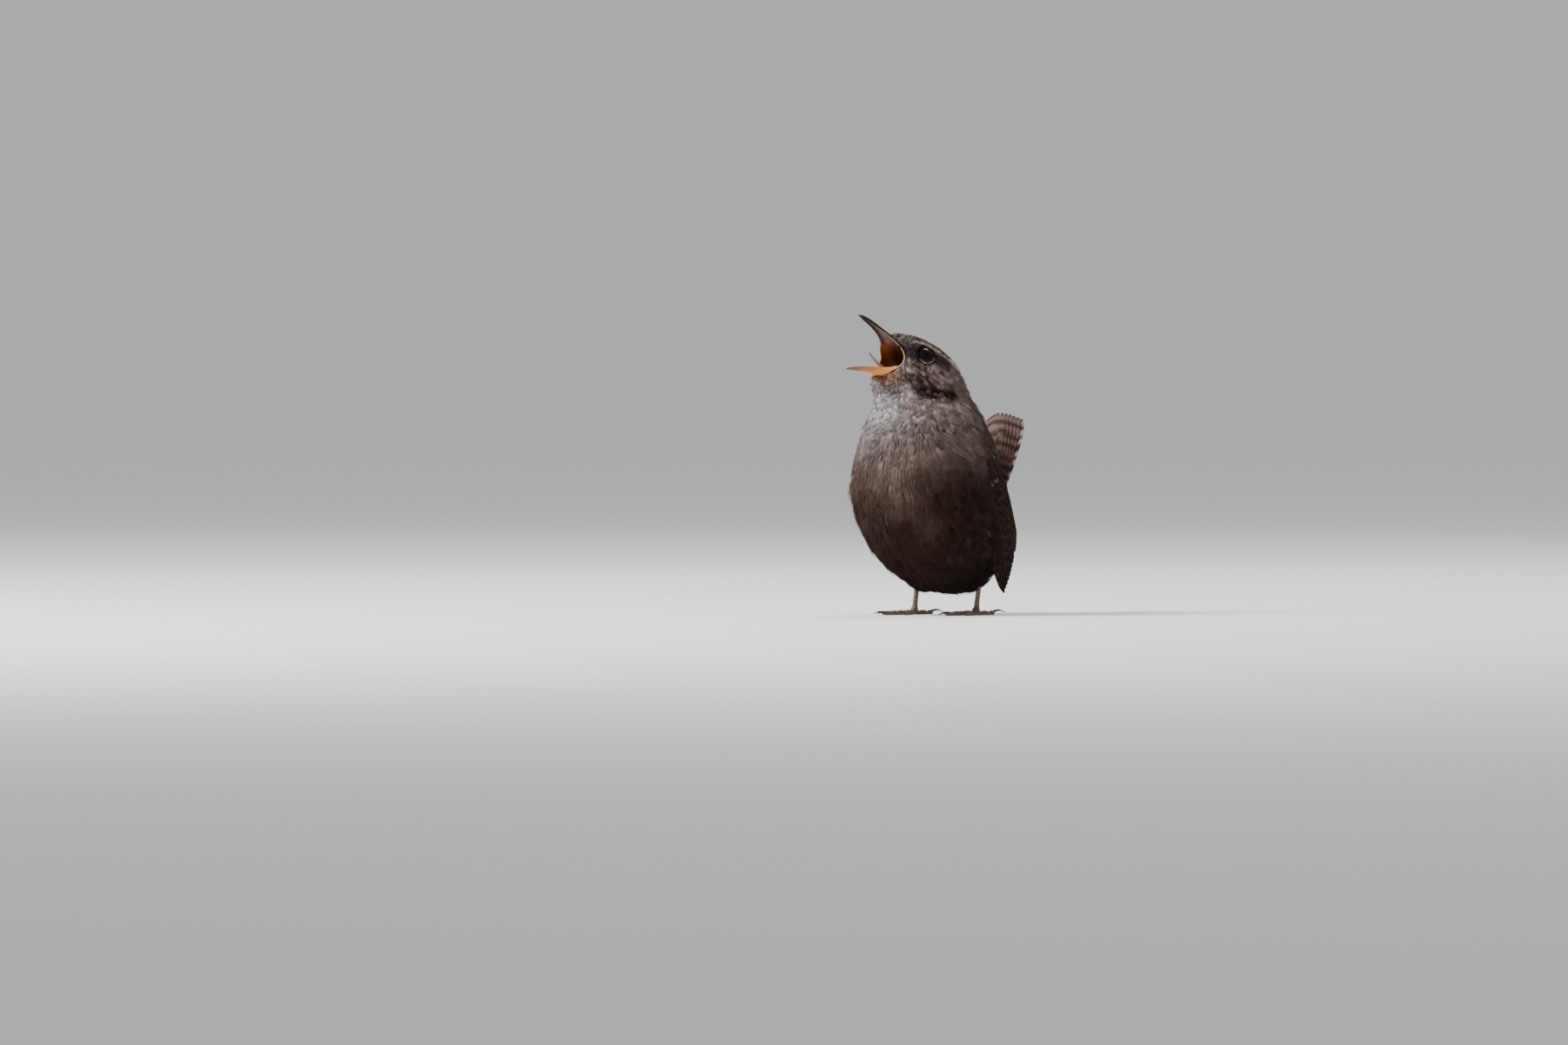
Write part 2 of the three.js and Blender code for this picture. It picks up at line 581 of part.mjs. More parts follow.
// A foot: four toes on a hub, with small flats where it stands
function foot(side, { forward, out }) {
  const hub = new THREE.SphereGeometry(1.02, 10, 7).scale(1, 1.15, 1).translate(0, 0, 1.05);
  const toes = TOES.map((t) => toe({ ...t, turn: t.turn * side }));
  const at = place(forward, side * out, 0);
  const whole = joined([solidOf(hub), ...toes]);
  const floor = halfSpace(place(0, 0, 0), UP);
  const top = halfSpace(place(0, 0, ANKLE_UP - GAP), UP.clone().negate());
  return whole.translate(...at.toArray()).intersect(floor).intersect(top);
}

const legPoint = (side, { forward, out }, up) => place(forward - (up - 1) * SHANK_SLOPE, side * out, up);

function thigh(side, stance, proud = 0) {
  const steps = 6;
  const path = Array.from({ length: steps + 1 }, (_, i) => {
    const t = i / steps;
    return legPoint(side, stance, THIGH.low - proud + (THIGH.high - THIGH.low) * t);
  });
  const radii = path.map((_, i) => {
    const t = i / steps;
    return proud + THIGH.lowRadius + (THIGH.highRadius - THIGH.lowRadius) * Math.sin((Math.PI / 2) * t) ** 0.8;
  });
  return rod(path, radii, 14, 1, FORWARD);
}

function shank(side, stance) {
  const ups = [ANKLE_UP, 2.9, 4, THIGH.high];
  const radii = [SHANK_RADIUS * 1.35, SHANK_RADIUS * 1.05, SHANK_RADIUS, SHANK_RADIUS];
  return rod(ups.map((up) => legPoint(side, stance, up)), radii, 10, 1.15, FORWARD);
}

// The whole bird
function mirrored(solid) {
  return solid.mirror([1, 0, 0]);
}

const LOOKS = {
  plumage: { color: 0x6b5546, roughness: 0.9 },
  crown: { color: 0x5a4a3f, roughness: 0.9 },
  throat: { color: 0x8c7f76, roughness: 0.9 },
  wing: { color: 0x4a3526, roughness: 0.8 },
  tail: { color: 0x7a5a46, roughness: 0.8 },
  eye: { color: 0x0a0706, roughness: 0.08 },
  upper_bill: { color: 0x4b3a30, roughness: 0.4 },
  lower_bill: { color: 0xc98a4e, roughness: 0.4 },
  tongue: { color: 0xd6a585, roughness: 0.5 },
  leg: { color: 0x8a7466, roughness: 0.55 },
};

function buildWren() {
  const body = bodySkin();
  const clearance = bodySkin(GAP);
  const neckCut = slicePlane(NECK_CUT);
  const torsoCut = slicePlane(TORSO_CUT);
  const thighs = Object.entries(FEET).map(([name, stance]) => [name, name === "left" ? 1 : -1, stance]);
  const solids = {};

  const tailSolid = tail();
  const sockets = [1, -1].map((side) => eye(side, GAP));
  const throatHole = ball([THROAT_HOLE.half, THROAT_HOLE.long, THROAT_HOLE.high],
    onHead(THROAT_HOLE.middle[0], 0, THROAT_HOLE.middle[1]), THROAT_HOLE.lean);
  const face = body.intersect(shifted(neckCut, GAP / 2)).subtract(eyeHollow(1)).subtract(eyeHollow(-1));
  const head = [...sockets, throatHole, mouthCutter()].reduce((rest, hole) => rest.subtract(hole),
    joined([face, lid(1), lid(-1)]));
  solids.head = [head, "crown"];
  solids.neck = [body.intersect(shifted(neckCut, -GAP / 2)).intersect(shifted(torsoCut, GAP / 2)), "throat"];
  solids.torso = [body.intersect(shifted(torsoCut, -GAP / 2)), "plumage"];
  solids.eye_left = [eye(1), "eye"];
  solids.eye_right = [eye(-1), "eye"];
  solids.bill_upper = [upperBill(), "upper_bill"];
  solids.bill_lower = [lowerBill(), "lower_bill"];
  solids.tongue = [tongue(), "tongue"];

  const tailClear = tailSolid.subtract(clearance);
  solids.tail = [tailClear, "tail"];
  const wing = joined([wingArm(), ...WING_ROWS.flatMap(vaneRow)]);
  solids.wing_left = [wing.subtract(clearance), "wing"];
  solids.wing_right = [mirrored(wing).subtract(clearance), "wing"];
  for (const [name, side, stance] of thighs) {
    solids[`thigh_${name}`] = [thigh(side, stance).subtract(clearance), "plumage"];
    solids[`shank_${name}`] = [shank(side, stance).subtract(thigh(side, stance, GAP)).subtract(clearance), "leg"];
    solids[`foot_${name}`] = [foot(side, stance), "leg"];
  }

  const wren = new THREE.Group();
  wren.name = "wren";
  for (const [name, [solid, look]] of Object.entries(solids)) {
    const mesh = new THREE.Mesh(geometryOf(solid), new THREE.MeshStandardMaterial({ metalness: 0, ...LOOKS[look] }));
    mesh.name = name;
    wren.add(mesh);
  }
  return wren;
}

const wren = buildWren();
// The frame's origin is under the middle of the bird's box
const box = new THREE.Box3().setFromObject(wren);
wren.position.set(-(box.min.x + box.max.x) / 2, -(box.min.y + box.max.y) / 2, -box.min.z);

export default wren;
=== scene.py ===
# %% [markdown]
# # A singing wren, dressed over its measured solids
# A wren is a ball of loose feathers a hand could close round, with a needle bill and a cocked tail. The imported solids
# give every size and place. This lesson lays a skin inside them, grows feathers on it, and gives each bare part its
# own surface, from the bill to the claws.

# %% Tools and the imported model
import math

import bpy
import numpy as np
from mathutils import Matrix, Vector
from mathutils.bvhtree import BVHTree
from mathutils.kdtree import KDTree


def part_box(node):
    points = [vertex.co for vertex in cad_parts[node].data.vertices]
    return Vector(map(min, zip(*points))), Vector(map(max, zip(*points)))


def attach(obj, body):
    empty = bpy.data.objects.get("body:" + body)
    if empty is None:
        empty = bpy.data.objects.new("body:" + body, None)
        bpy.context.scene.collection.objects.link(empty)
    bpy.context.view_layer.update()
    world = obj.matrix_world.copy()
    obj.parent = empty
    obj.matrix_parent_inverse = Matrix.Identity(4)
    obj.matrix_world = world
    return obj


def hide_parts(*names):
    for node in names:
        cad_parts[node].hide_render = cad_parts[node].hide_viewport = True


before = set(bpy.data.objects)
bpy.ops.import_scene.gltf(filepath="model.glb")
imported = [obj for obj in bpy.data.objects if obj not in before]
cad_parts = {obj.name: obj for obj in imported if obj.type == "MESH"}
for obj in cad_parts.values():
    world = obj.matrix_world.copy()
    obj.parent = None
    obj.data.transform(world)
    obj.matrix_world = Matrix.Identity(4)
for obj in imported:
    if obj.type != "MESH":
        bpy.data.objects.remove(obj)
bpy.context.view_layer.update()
MM = 0.001
BODY = "root"
SIDES = {"left": 1, "right": -1}

# %% [markdown]
# ## The bird's own coordinates
# All sizes below are in millimetres: forward, to the bird's left, and up from the floor. The head is turned a little
# to the right about an upright axis in the neck, exactly as the solids are, so one helper turns any point with it.
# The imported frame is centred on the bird's box, so the shift between the two is found from the left eye.

# %% Coordinates
HEAD_CENTRE = (12.0, 66.6)
HEAD_TURN = math.radians(9)
NECK_FORWARD = 7.0
EYE_AT = (0.9, -0.3)
EYE_RADIUS = 2.7
LID_OUT = 6.35
LID_LEAN = (0.2, 0.5)
OPENING_RADIUS = 1.85


def place(forward, left, up):
    return np.stack(np.broadcast_arrays(left, -np.asarray(forward, float), up), -1).astype(float)


def spun(vectors, angle):
    c, s = np.cos(angle), np.sin(angle)
    x, y = vectors[..., 0], vectors[..., 1]
    return np.stack([x * c - y * s, x * s + y * c, vectors[..., 2]], -1)


def turned(points, share=1.0):
    pivot = place(NECK_FORWARD, 0, 0)
    return spun(points - pivot, -HEAD_TURN * np.asarray(share)) + pivot


def on_head(forward, left, up):
    return turned(place(HEAD_CENTRE[0] + forward, left, HEAD_CENTRE[1] + up))


def unit(vectors):
    return vectors / np.maximum(np.linalg.norm(vectors, axis=-1, keepdims=True), 1e-9)


def head_way(forward, left, up):
    """A direction that turns with the head."""
    return unit(on_head(forward, left, up) - on_head(0, 0, 0))


def lid_axis(side):
    return head_way(LID_LEAN[0], side, LID_LEAN[1])


def lid_middle(side):
    return on_head(EYE_AT[0], side * LID_OUT, EYE_AT[1])


EYE_DEPTH = math.sqrt(EYE_RADIUS**2 - OPENING_RADIUS**2)
eye_low, eye_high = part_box("eye_left")
SHIFT = np.array((eye_low + eye_high) / 2) / MM - (lid_middle(1) - EYE_DEPTH * lid_axis(1))
SHIFT[[0, 2]] = 0


def to_row(points):
    return (np.asarray(points) + SHIFT) * MM


def from_row(points):
    return np.asarray(points) / MM - SHIFT


print("shift between the bird and the frame, mm:", SHIFT.round(3))

# %% [markdown]
# ## Camera
# The photograph is taken from the bird's left front, level with its breast, through a very long lens. The whole
# frame is 1800 by 1200 pixels at 4.5 pixels to the millimetre, and the bird's own origin lies at a known pixel, so
# the camera only has to be moved sideways and up until that pixel is where it belongs.

# %% Camera
AZIMUTH = math.radians(44)
ELEVATION = math.radians(1)
PIXELS_PER_MM = 4.5
PHOTO_SIZE = (1800, 1200)
ORIGIN_PIXEL = (1088, 706)
DISTANCE = 4000.0
SENSOR = 36.0


def way_to(azimuth, elevation):
    """The direction from the bird to something seen at an azimuth and an elevation, 0 being straight ahead."""
    level = math.cos(elevation)
    return np.array([math.sin(azimuth) * level, -math.cos(azimuth) * level, math.sin(elevation)])


view_right = np.array([math.cos(AZIMUTH), math.sin(AZIMUTH), 0])
view_back = way_to(AZIMUTH, ELEVATION)
view_up = np.cross(view_back, view_right)
frame_middle = (
    view_right * (PHOTO_SIZE[0] / 2 - ORIGIN_PIXEL[0]) / PIXELS_PER_MM
    + view_up * (ORIGIN_PIXEL[1] - PHOTO_SIZE[1] / 2) / PIXELS_PER_MM)
bpy.ops.object.camera_add(location=to_row(frame_middle + view_back * DISTANCE))
camera = bpy.context.object
camera.name = "camera"
camera.rotation_euler = Matrix([view_right, view_up, view_back]).transposed().to_euler()
camera.data.sensor_width = SENSOR
camera.data.lens = SENSOR * DISTANCE * PIXELS_PER_MM / PHOTO_SIZE[0]
camera.data.clip_start = 0.05
camera.data.clip_end = 200
bpy.context.scene.camera = camera
print("lens", round(camera.data.lens, 1), "mm")

# %% [markdown]
# ## Helpers for meshes
# Operators act on everything selected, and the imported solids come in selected, so each step starts by deselecting.
# A modifier is added to one object and applied at once. Feathers come by the thousand, so their points are worked
# out in arrays and turned into one mesh.

# %% Mesh helpers
def pick(*objects):
    bpy.ops.object.select_all(action="DESELECT")
    for item in objects:
        item.select_set(True)
    bpy.context.view_layer.objects.active = objects[0]


def modify(item, kind, **settings):
    pick(item)
    modifier = item.modifiers.new(kind.lower(), kind)
    for key, value in settings.items():
        setattr(modifier, key, value)
    bpy.ops.object.modifier_apply(modifier=modifier.name)


def edit(item, operator, **settings):
    """One operator on the whole of a mesh."""
    pick(item)
    bpy.ops.object.mode_set(mode="EDIT")
    bpy.ops.mesh.select_all(action="SELECT")
    operator(**settings)
    bpy.ops.object.mode_set(mode="OBJECT")


def right_way_out(item):
    edit(item, bpy.ops.mesh.normals_make_consistent, inside=False)


def named(title):
    item = bpy.context.object
    item.name = item.data.name = title
    return item


def joined(items, title):
    pick(*items)
    if len(items) > 1:
        bpy.ops.object.join()
    return named(title)


def linked(title, mesh):
    item = bpy.data.objects.new(title, mesh)
    bpy.context.scene.collection.objects.link(item)
    return item


def copied(nodes, title):
    """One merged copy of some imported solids."""
    whole = joined([linked(title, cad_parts[name].data.copy()) for name in nodes], title)
    whole.data.materials.clear()
    edit(whole, bpy.ops.mesh.remove_doubles, threshold=1e-6)
    return whole


def read(rows, key, width=1, kind=np.float32):
    """One value of every vertex, corner or face as an array."""
    flat = np.empty(len(rows) * width, kind)
    rows.foreach_get(key, flat)
    return flat.reshape(-1, width) if width > 1 else flat


def write(rows, key, values, kind=np.float32):
    rows.foreach_set(key, np.asarray(values).astype(kind).ravel())


def points_of(item):
    return from_row(read(item.data.vertices, "co", 3).astype(float))


def set_points(item, points):
    write(item.data.vertices, "co", to_row(points))
    item.data.update()


def normals_of(item):
    return read(item.data.vertex_normals, "vector", 3).astype(float)


def mesh_of(title, points, faces):
    """A mesh object from an array of points and an array of triangles."""
    mesh = bpy.data.meshes.new(title)
    mesh.vertices.add(len(points))
    write(mesh.vertices, "co", to_row(points))
    mesh.loops.add(faces.size)
    write(mesh.loops, "vertex_index", faces, np.int32)
    mesh.polygons.add(len(faces))
    write(mesh.polygons, "loop_start", np.arange(0, faces.size, 3), np.int32)
    mesh.update(calc_edges=True)
    return linked(title, mesh)


def tube(rings, title, caps=True):
    """A mesh through rings of points, with a fan over each end unless it stays open."""
    many, sides, _ = rings.shape
    points = rings.reshape(-1, 3)
    j = np.arange(sides)
    k = (j + 1) % sides
    a, b = (np.arange(many - 1)[:, None] * sides + way for way in (j, k))
    faces = np.stack([a, b, b + sides, a, b + sides, a + sides], -1).reshape(-1, 3)
    if caps:
        hub = np.full(sides, len(points))
        last = (many - 1) * sides
        faces = np.concatenate([faces, np.stack([hub, k, j], -1), np.stack([hub + 1, last + j, last + k], -1)])
        points = np.concatenate([points, rings[[0, -1]].mean(1)])
    return mesh_of(title, points, faces)


def add_colours(item, colours):
    rgba = np.ones((len(item.data.vertices), 4))
    rgba[:, :3] = colours
    write(item.data.color_attributes.new("plumage", "FLOAT_COLOR", "POINT").data, "color", rgba)


def add_map(item, uv_of_points):
    corners = read(item.data.loops, "vertex_index", 1, np.int32)
    write(item.data.uv_layers.new(name="OFBake").data, "uv", np.clip(uv_of_points, 0, 1)[corners])


def dress(item, finish):
    item.data.materials.clear()
    item.data.materials.append(finish)


def keep(item, finish, slot, *nodes):
    """Files a finished piece: it rides on the body, has the given finish and stands for its solids. The slot is not
    used.
    """
    item.data.shade_smooth()
    dress(item, finish)
    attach(item, BODY)
    if nodes:
        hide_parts(*nodes)
    print(f"{item.name}: {len(item.data.polygons)} faces")


# %% [markdown]
# ## Where a feather is on the body
# Feathers, markings and their direction all follow the body, not the world. The solids were drawn as eleven slices
# from the face to the vent. Every point of the bird lies in one slice, which gives it a station from 0 to 10 and an
# angle round the body, from 0 on the breast to half a turn on the back. The line through the slices' middles gives
# the way that the feathers lie.

# %% Stations and angles
SLICES = np.array([  # back forward and up, front forward and up, half width
    [20, 71.9, 25, 60.4, 2.2],
    [16.3, 71.8, 23.8, 57.4, 4.9],
    [10.5, 70.6, 22.2, 54.6, 7],
    [2.6, 65.8, 22.4, 49.6, 10.1],
    [-2.4, 56.4, 25.8, 44, 13.6],
    [-6, 46.5, 27.9, 37.6, 16],
    [-10.6, 36.5, 28.1, 29.6, 17.5],
    [-14.4, 26, 24.1, 19.6, 17.1],
    [-15.6, 17.5, 15.8, 10.7, 14.1],
    [-12.8, 10.8, 5.2, 6, 8.4],
    [-7.4, 6.4, -3.8, 5.2, 1.6],
])
HEAD_SLICE = 2.2
SHOULDER_SLICE = 5
STATIONS = np.linspace(0, len(SLICES) - 1, 181)


def ramp(value, low, high):
    t = np.clip((np.asarray(value, float) - low) / (high - low), 0, 1)
    return t * t * (3 - 2 * t)


def band(value, rise, fall):
    """1 from the end of the rise to the start of the fall, and 0 outside them."""
    return ramp(value, *rise) * (1 - ramp(value, *fall))


def cubic(xs, ys, at):
    """A smooth line through a few points."""
    xs, ys = np.asarray(xs, float), np.asarray(ys, float)
    slopes = np.gradient(ys, xs)
    i = np.clip(np.searchsorted(xs, at, side="right") - 1, 0, len(xs) - 2)
    span = xs[i + 1] - xs[i]
    t = np.clip((at - xs[i]) / span, 0, 1)
    return ((2 * t**3 - 3 * t**2 + 1) * ys[i] + (t**3 - 2 * t**2 + t) * span * slopes[i]
            + (3 * t**2 - 2 * t**3) * ys[i + 1] + (t**3 - t**2) * span * slopes[i + 1])


columns = [cubic(np.arange(len(SLICES)), column, STATIONS) for column in SLICES.T]
slice_turn = 1 - ramp(STATIONS, HEAD_SLICE, SHOULDER_SLICE)
slice_back = turned(place(columns[0], 0, columns[1]), slice_turn)
slice_front = turned(place(columns[2], 0, columns[3]), slice_turn)
slice_middle = (slice_back + slice_front) / 2
slice_reach = np.linalg.norm(slice_front - slice_back, axis=1) / 2
slice_along = unit(slice_front - slice_back)
slice_left = spun(np.tile([1.0, 0, 0], (len(STATIONS), 1)), -HEAD_TURN * slice_turn)
slice_normal = unit(np.cross(slice_along, slice_left))
slice_half = np.maximum(columns[4], 0.5)
slice_lie = unit(np.gradient(slice_middle, axis=0))


def on_body(points):
    """Station, angle and lie of each point."""
    ahead = points @ slice_normal.T - (slice_middle * slice_normal).sum(1)
    found = ahead > 0
    after = np.where(found.any(1), found.argmax(1), len(STATIONS) - 1)
    before = np.maximum(after - 1, 0)
    rows = np.arange(len(points))
    low, high = ahead[rows, before], ahead[rows, after]
    share = np.clip(-low / np.maximum(high - low, 1e-9), 0, 1)

    def mix(table):
        part = share if table.ndim == 1 else share[:, None]
        return table[before] + (table[after] - table[before]) * part

    offset = points - mix(slice_middle)
    forward = (offset * mix(slice_along)).sum(1) / mix(slice_reach)
    left = (offset * mix(slice_left)).sum(1) / mix(slice_half)
    return mix(STATIONS), np.arctan2(left, forward), unit(mix(slice_lie))


def round_of(angle):
    """Degrees round the body from the breast, the same on both sides."""
    return np.abs(np.degrees(angle))


def on_face(points):
    """Places on the head, un-turned, from the point between the eyes: forward, left, up."""
    pivot = place(NECK_FORWARD, 0, 0)
    back = spun(points - pivot, HEAD_TURN) + pivot
    return -back[:, 1] - HEAD_CENTRE[0], back[:, 0], back[:, 2] - HEAD_CENTRE[1]


slice_gaps = np.linalg.norm(np.diff(slice_middle, axis=0), axis=1)
print("length of the line through the slices, mm:", round(slice_gaps.sum()))

# %% [markdown]
# ## Surfaces of the wings and the tail
# A folded wing lies on a bent sheet: along it runs the line from the wrist to the tip, across it the sheet curves
# round the body. The tail's twelve feathers lie on a sheet that arches sideways. Feathers are placed in the sheets'
# own millimetres, as the solids' feathers are, and body feathers near a wing are lifted on to it.

# %% Wing and tail sheets
LEFT = np.array([1.0, 0, 0])
WRIST = (10, 47.5)
WING_TIP = (-9, 6.2)
WING_OUT = [12.1, 14.7, 15.6, 15.8, 15, 13.6, 12]
WING_BEND = 12.0
WING_FRONT = [(0, -0.6), (6, -2.4), (12, -3.2), (20, -3.7), (28, -4.2), (38, -3.2), (46, -1.2)]
WING_REAR = [(0, 10), (6, 13.2), (12, 14.4), (20, 14.4), (30, 12), (38, 7.5), (46, 1)]
outer = np.multiply.outer
wing_start = place(WRIST[0], 0, WRIST[1])
wing_long = math.hypot(WRIST[0] - WING_TIP[0], WRIST[1] - WING_TIP[1])
wing_down = unit(place(WING_TIP[0], 0, WING_TIP[1]) - wing_start)
wing_back = np.cross(wing_down, LEFT)
wing_back *= np.sign(wing_back[1])


def table(value, pairs):
    """A value looked up on a bent line given as pairs."""
    return np.interp(value, *zip(*pairs))


def wing_axis(along):
    out = cubic(np.linspace(0, 1, len(WING_OUT)), WING_OUT, np.clip(along / wing_long, 0, 1))
    return wing_start + outer(along, wing_down) + outer(out - WING_BEND, LEFT)


def alike(*values):
    return np.broadcast_arrays(*(np.asarray(v, float) for v in values))


def wing_sheet(side):
    def sheet(along, across, level):
        along, across, level = alike(along, across, level)
        angle = across / WING_BEND
        out = outer(np.cos(angle), LEFT) + outer(np.sin(angle), wing_back)
        return (wing_axis(along) + out * (WING_BEND + level)[..., None]) * (side, 1, 1)
    return sheet


def on_wing(points):
    """Along, across and level of each point on the nearer wing, and the way out of its sheet."""
    flip = outer(np.where(points[:, 0] > 0, 1.0, -1.0), (1, 0, 0)) + (0, 1, 1)
    mirrored = points * flip
    along = (mirrored - wing_start) @ wing_down
    offset = mirrored - wing_axis(along)
    a, b = offset @ LEFT, offset @ wing_back
    out = (outer(a, LEFT) + outer(b, wing_back)) * flip
    return along, WING_BEND * np.arctan2(b, a), np.hypot(a, b) - WING_BEND, unit(out)


TAIL_ROOT = (-12.2, 21.5)
TAIL_LEAN = math.radians(15)
TAIL_LONG = 30.9
TAIL_ARCH = 26.0
tail_start = place(TAIL_ROOT[0], 0, TAIL_ROOT[1])
tail_up = place(-math.sin(TAIL_LEAN), 0, math.cos(TAIL_LEAN))
tail_face = place(math.cos(TAIL_LEAN), 0, math.sin(TAIL_LEAN))


def tail_sheet(along, across, level):
    along, across, level = alike(along, across, level)
    return (tail_start + outer(along, tail_up) + outer(across, LEFT)
            + outer(level - across**2 / (2 * TAIL_ARCH), tail_face))


print("wing", round(wing_long, 1), "mm from the wrist to the tip; tail", TAIL_LONG, "mm")

# %% [markdown]
# ## Markings
# The colours are mixed from the photograph: a cool grey-brown crown, a pale stripe over the eye, dark lores, a
# mottled cheek with a dark hind edge, a whitish throat, a grey-buff breast that turns to warm dark brown on the
# belly, and barred brown upperparts. One function paints skin and feathers alike, so no bare colour shows between.

# %% Palette
def paint(red, green, blue):
    share = np.array([red, green, blue]) / 255
    return np.where(share <= 0.04045, share / 12.92, ((share + 0.055) / 1.055) ** 2.4)


def mixed(first, second, amount):
    amount = np.clip(np.asarray(amount, float), 0, 1)[:, None]
    return first * (1 - amount) + second * amount


CROWN = paint(112, 98, 88)
CROWN_DARK = paint(50, 38, 32)
FOREHEAD = paint(158, 150, 144)
BROW = paint(196, 178, 164)
LORES = paint(32, 23, 20)
CHEEK = paint(98, 78, 68)
CHEEK_EDGE = paint(28, 18, 15)
CHEEK_PALE = paint(172, 150, 142)
MALAR = paint(196, 190, 192)
THROAT = paint(140, 127, 123)
THROAT_PALE = paint(214, 212, 220)
CHIN = paint(156, 98, 50)
CHIN_BROWN = paint(96, 72, 58)
NECK_SIDE = paint(122, 104, 96)
NECK_STREAK = paint(188, 176, 170)
BREAST = paint(126, 106, 98)
BREAST_LOW = paint(76, 55, 47)
BELLY = paint(42, 23, 17)
FLANK = paint(34, 20, 15)
VENT = paint(34, 21, 16)
MANTLE = paint(60, 42, 33)
RUMP = paint(84, 56, 40)
WISP = paint(160, 150, 136)
SKIN_TONE = 0.72
CHEEK_MIDDLE = [(3.2, -5.6), (-0.6, -7.2)]
BROW_LINE = [(4.4, 2.9), (2.9, 3.05), (0.8, 2.7), (-1.6, 1.75), (-4, 0.1), (-6.2, -1.9), (-8.2, -4), (-11, -8.5)]
EYE_LINE = [(8, 0.8), (4.4, 0.2), (0.9, -0.5), (-1.8, -1.6), (-4, -3)]
HEAD_MARKS = {  # tone, line, half width, fade, where, least amount, what a grain adds, that grain and its range
    "forehead": (FOREHEAD, [(8.6, 4.6), (4, 5.4)], 1, 2, "head", 0, 0.7, "down", 0.4, 0.6),
    "cheek": (CHEEK, CHEEK_MIDDLE, 2.6, 2.6, "cheek", 1, 0, "speckle", 0, 1),
    "cheek, dark": (CHEEK_EDGE, CHEEK_MIDDLE, 2.6, 2.6, "cheek", 0, 0.75, "speckle", 0.5, 0.62),
    "cheek, pale": (CHEEK_PALE, CHEEK_MIDDLE, 2.6, 2.6, "cheek", 0.5, -0.5, "speckle", 0.3, 0.42),
    "cheek streaks": (CHEEK_PALE, [(0.5, -3.4), (-5.6, -6.4)], 1.2, 2, "side", 0, 0.75, "streak", 0.45, 0.65),
    "gape spot": (MALAR, [(6.4, -3.8), (5.6, -4.4)], 0.2, 0.7, "face", 0.8, 0, "speckle", 0, 1),
    "collar": (NECK_STREAK, [(5, -13), (-1, -13.6), (-7, -13.6)], 0.3, 1.6, "side", 0.2, 0.5, "streak", 0.4, 0.6),
    "cheek patch": (CHEEK_EDGE, [(4.8, -9.2), (1, -9.9), (-3.6, -10.5)], 0.8, 1.8, "patch", 0.6, 0.4,
                    "blotch", 0.3, 0.55),
    "gape shade": (CHIN_BROWN, [(8.4, -5.4), (5.6, -7)], 0.6, 1.6, "face", 0.3, 0.6, "speckle", 0.4, 0.6),
    "malar": (MALAR, [(7.2, -8.6), (6.4, -10.8)], 0.5, 1.3, "face", 0.4, 0.5, "speckle", 0.35, 0.6),
    "chin's base": (CHIN_BROWN, [(12, -7), (8.4, -8.4)], 0.8, 2.2, "chin", 0.4, 0.5, "speckle", 0.35, 0.6),
    "chin": (CHIN, [(13.4, -5.2), (8.6, -5.6)], 0.4, 1.7, "bill base", 0.7, 0, "speckle", 0, 1),
    "eye line": (LORES, EYE_LINE, 0.9, 1.3, "face", 0.8, 0, "speckle", 0, 1),
}


def lattice(points, size, seed):
    """Soft random values from 0 to 1 that change over about `size` millimetres."""
    cell = points / size + 1000.0
    corner = np.floor(cell).astype(np.int64)
    t = cell - corner
    t = t * t * (3 - 2 * t)
    total = np.zeros(len(points))
    for step in np.ndindex(2, 2, 2):
        at = corner + np.array(step)
        hashed = (at[:, 0] * 73856093) ^ (at[:, 1] * 19349663) ^ (at[:, 2] * 83492791) ^ (seed * 2654435761)
        hashed = (hashed ^ (hashed >> 13)) * 1274126177 & 0xFFFFFFFF
        value = ((hashed ^ (hashed >> 16)) & 0xFFFF) / 65535
        total += value * np.prod(np.where(np.array(step), t, 1 - t), axis=1)
    return total


def near_path(x, z, path, half, soft):
    """1 on a bent line drawn on the side of the head, fading to 0 beyond `half`."""
    best = np.full(len(x), 1e9)
    for (ax, az), (bx, bz) in zip(path, path[1:]):
        span = (bx - ax) ** 2 + (bz - az) ** 2
        t = np.clip(((x - ax) * (bx - ax) + (z - az) * (bz - az)) / span, 0, 1)
        best = np.minimum(best, np.hypot(x - ax - t * (bx - ax), z - az - t * (bz - az)))
    return 1 - ramp(best, half, half + soft)


def eye_distance(points):
    """How far each point is from the nearer eye's lids."""
    return np.minimum(*[np.linalg.norm(points - lid_middle(side), axis=1) for side in (1, -1)])


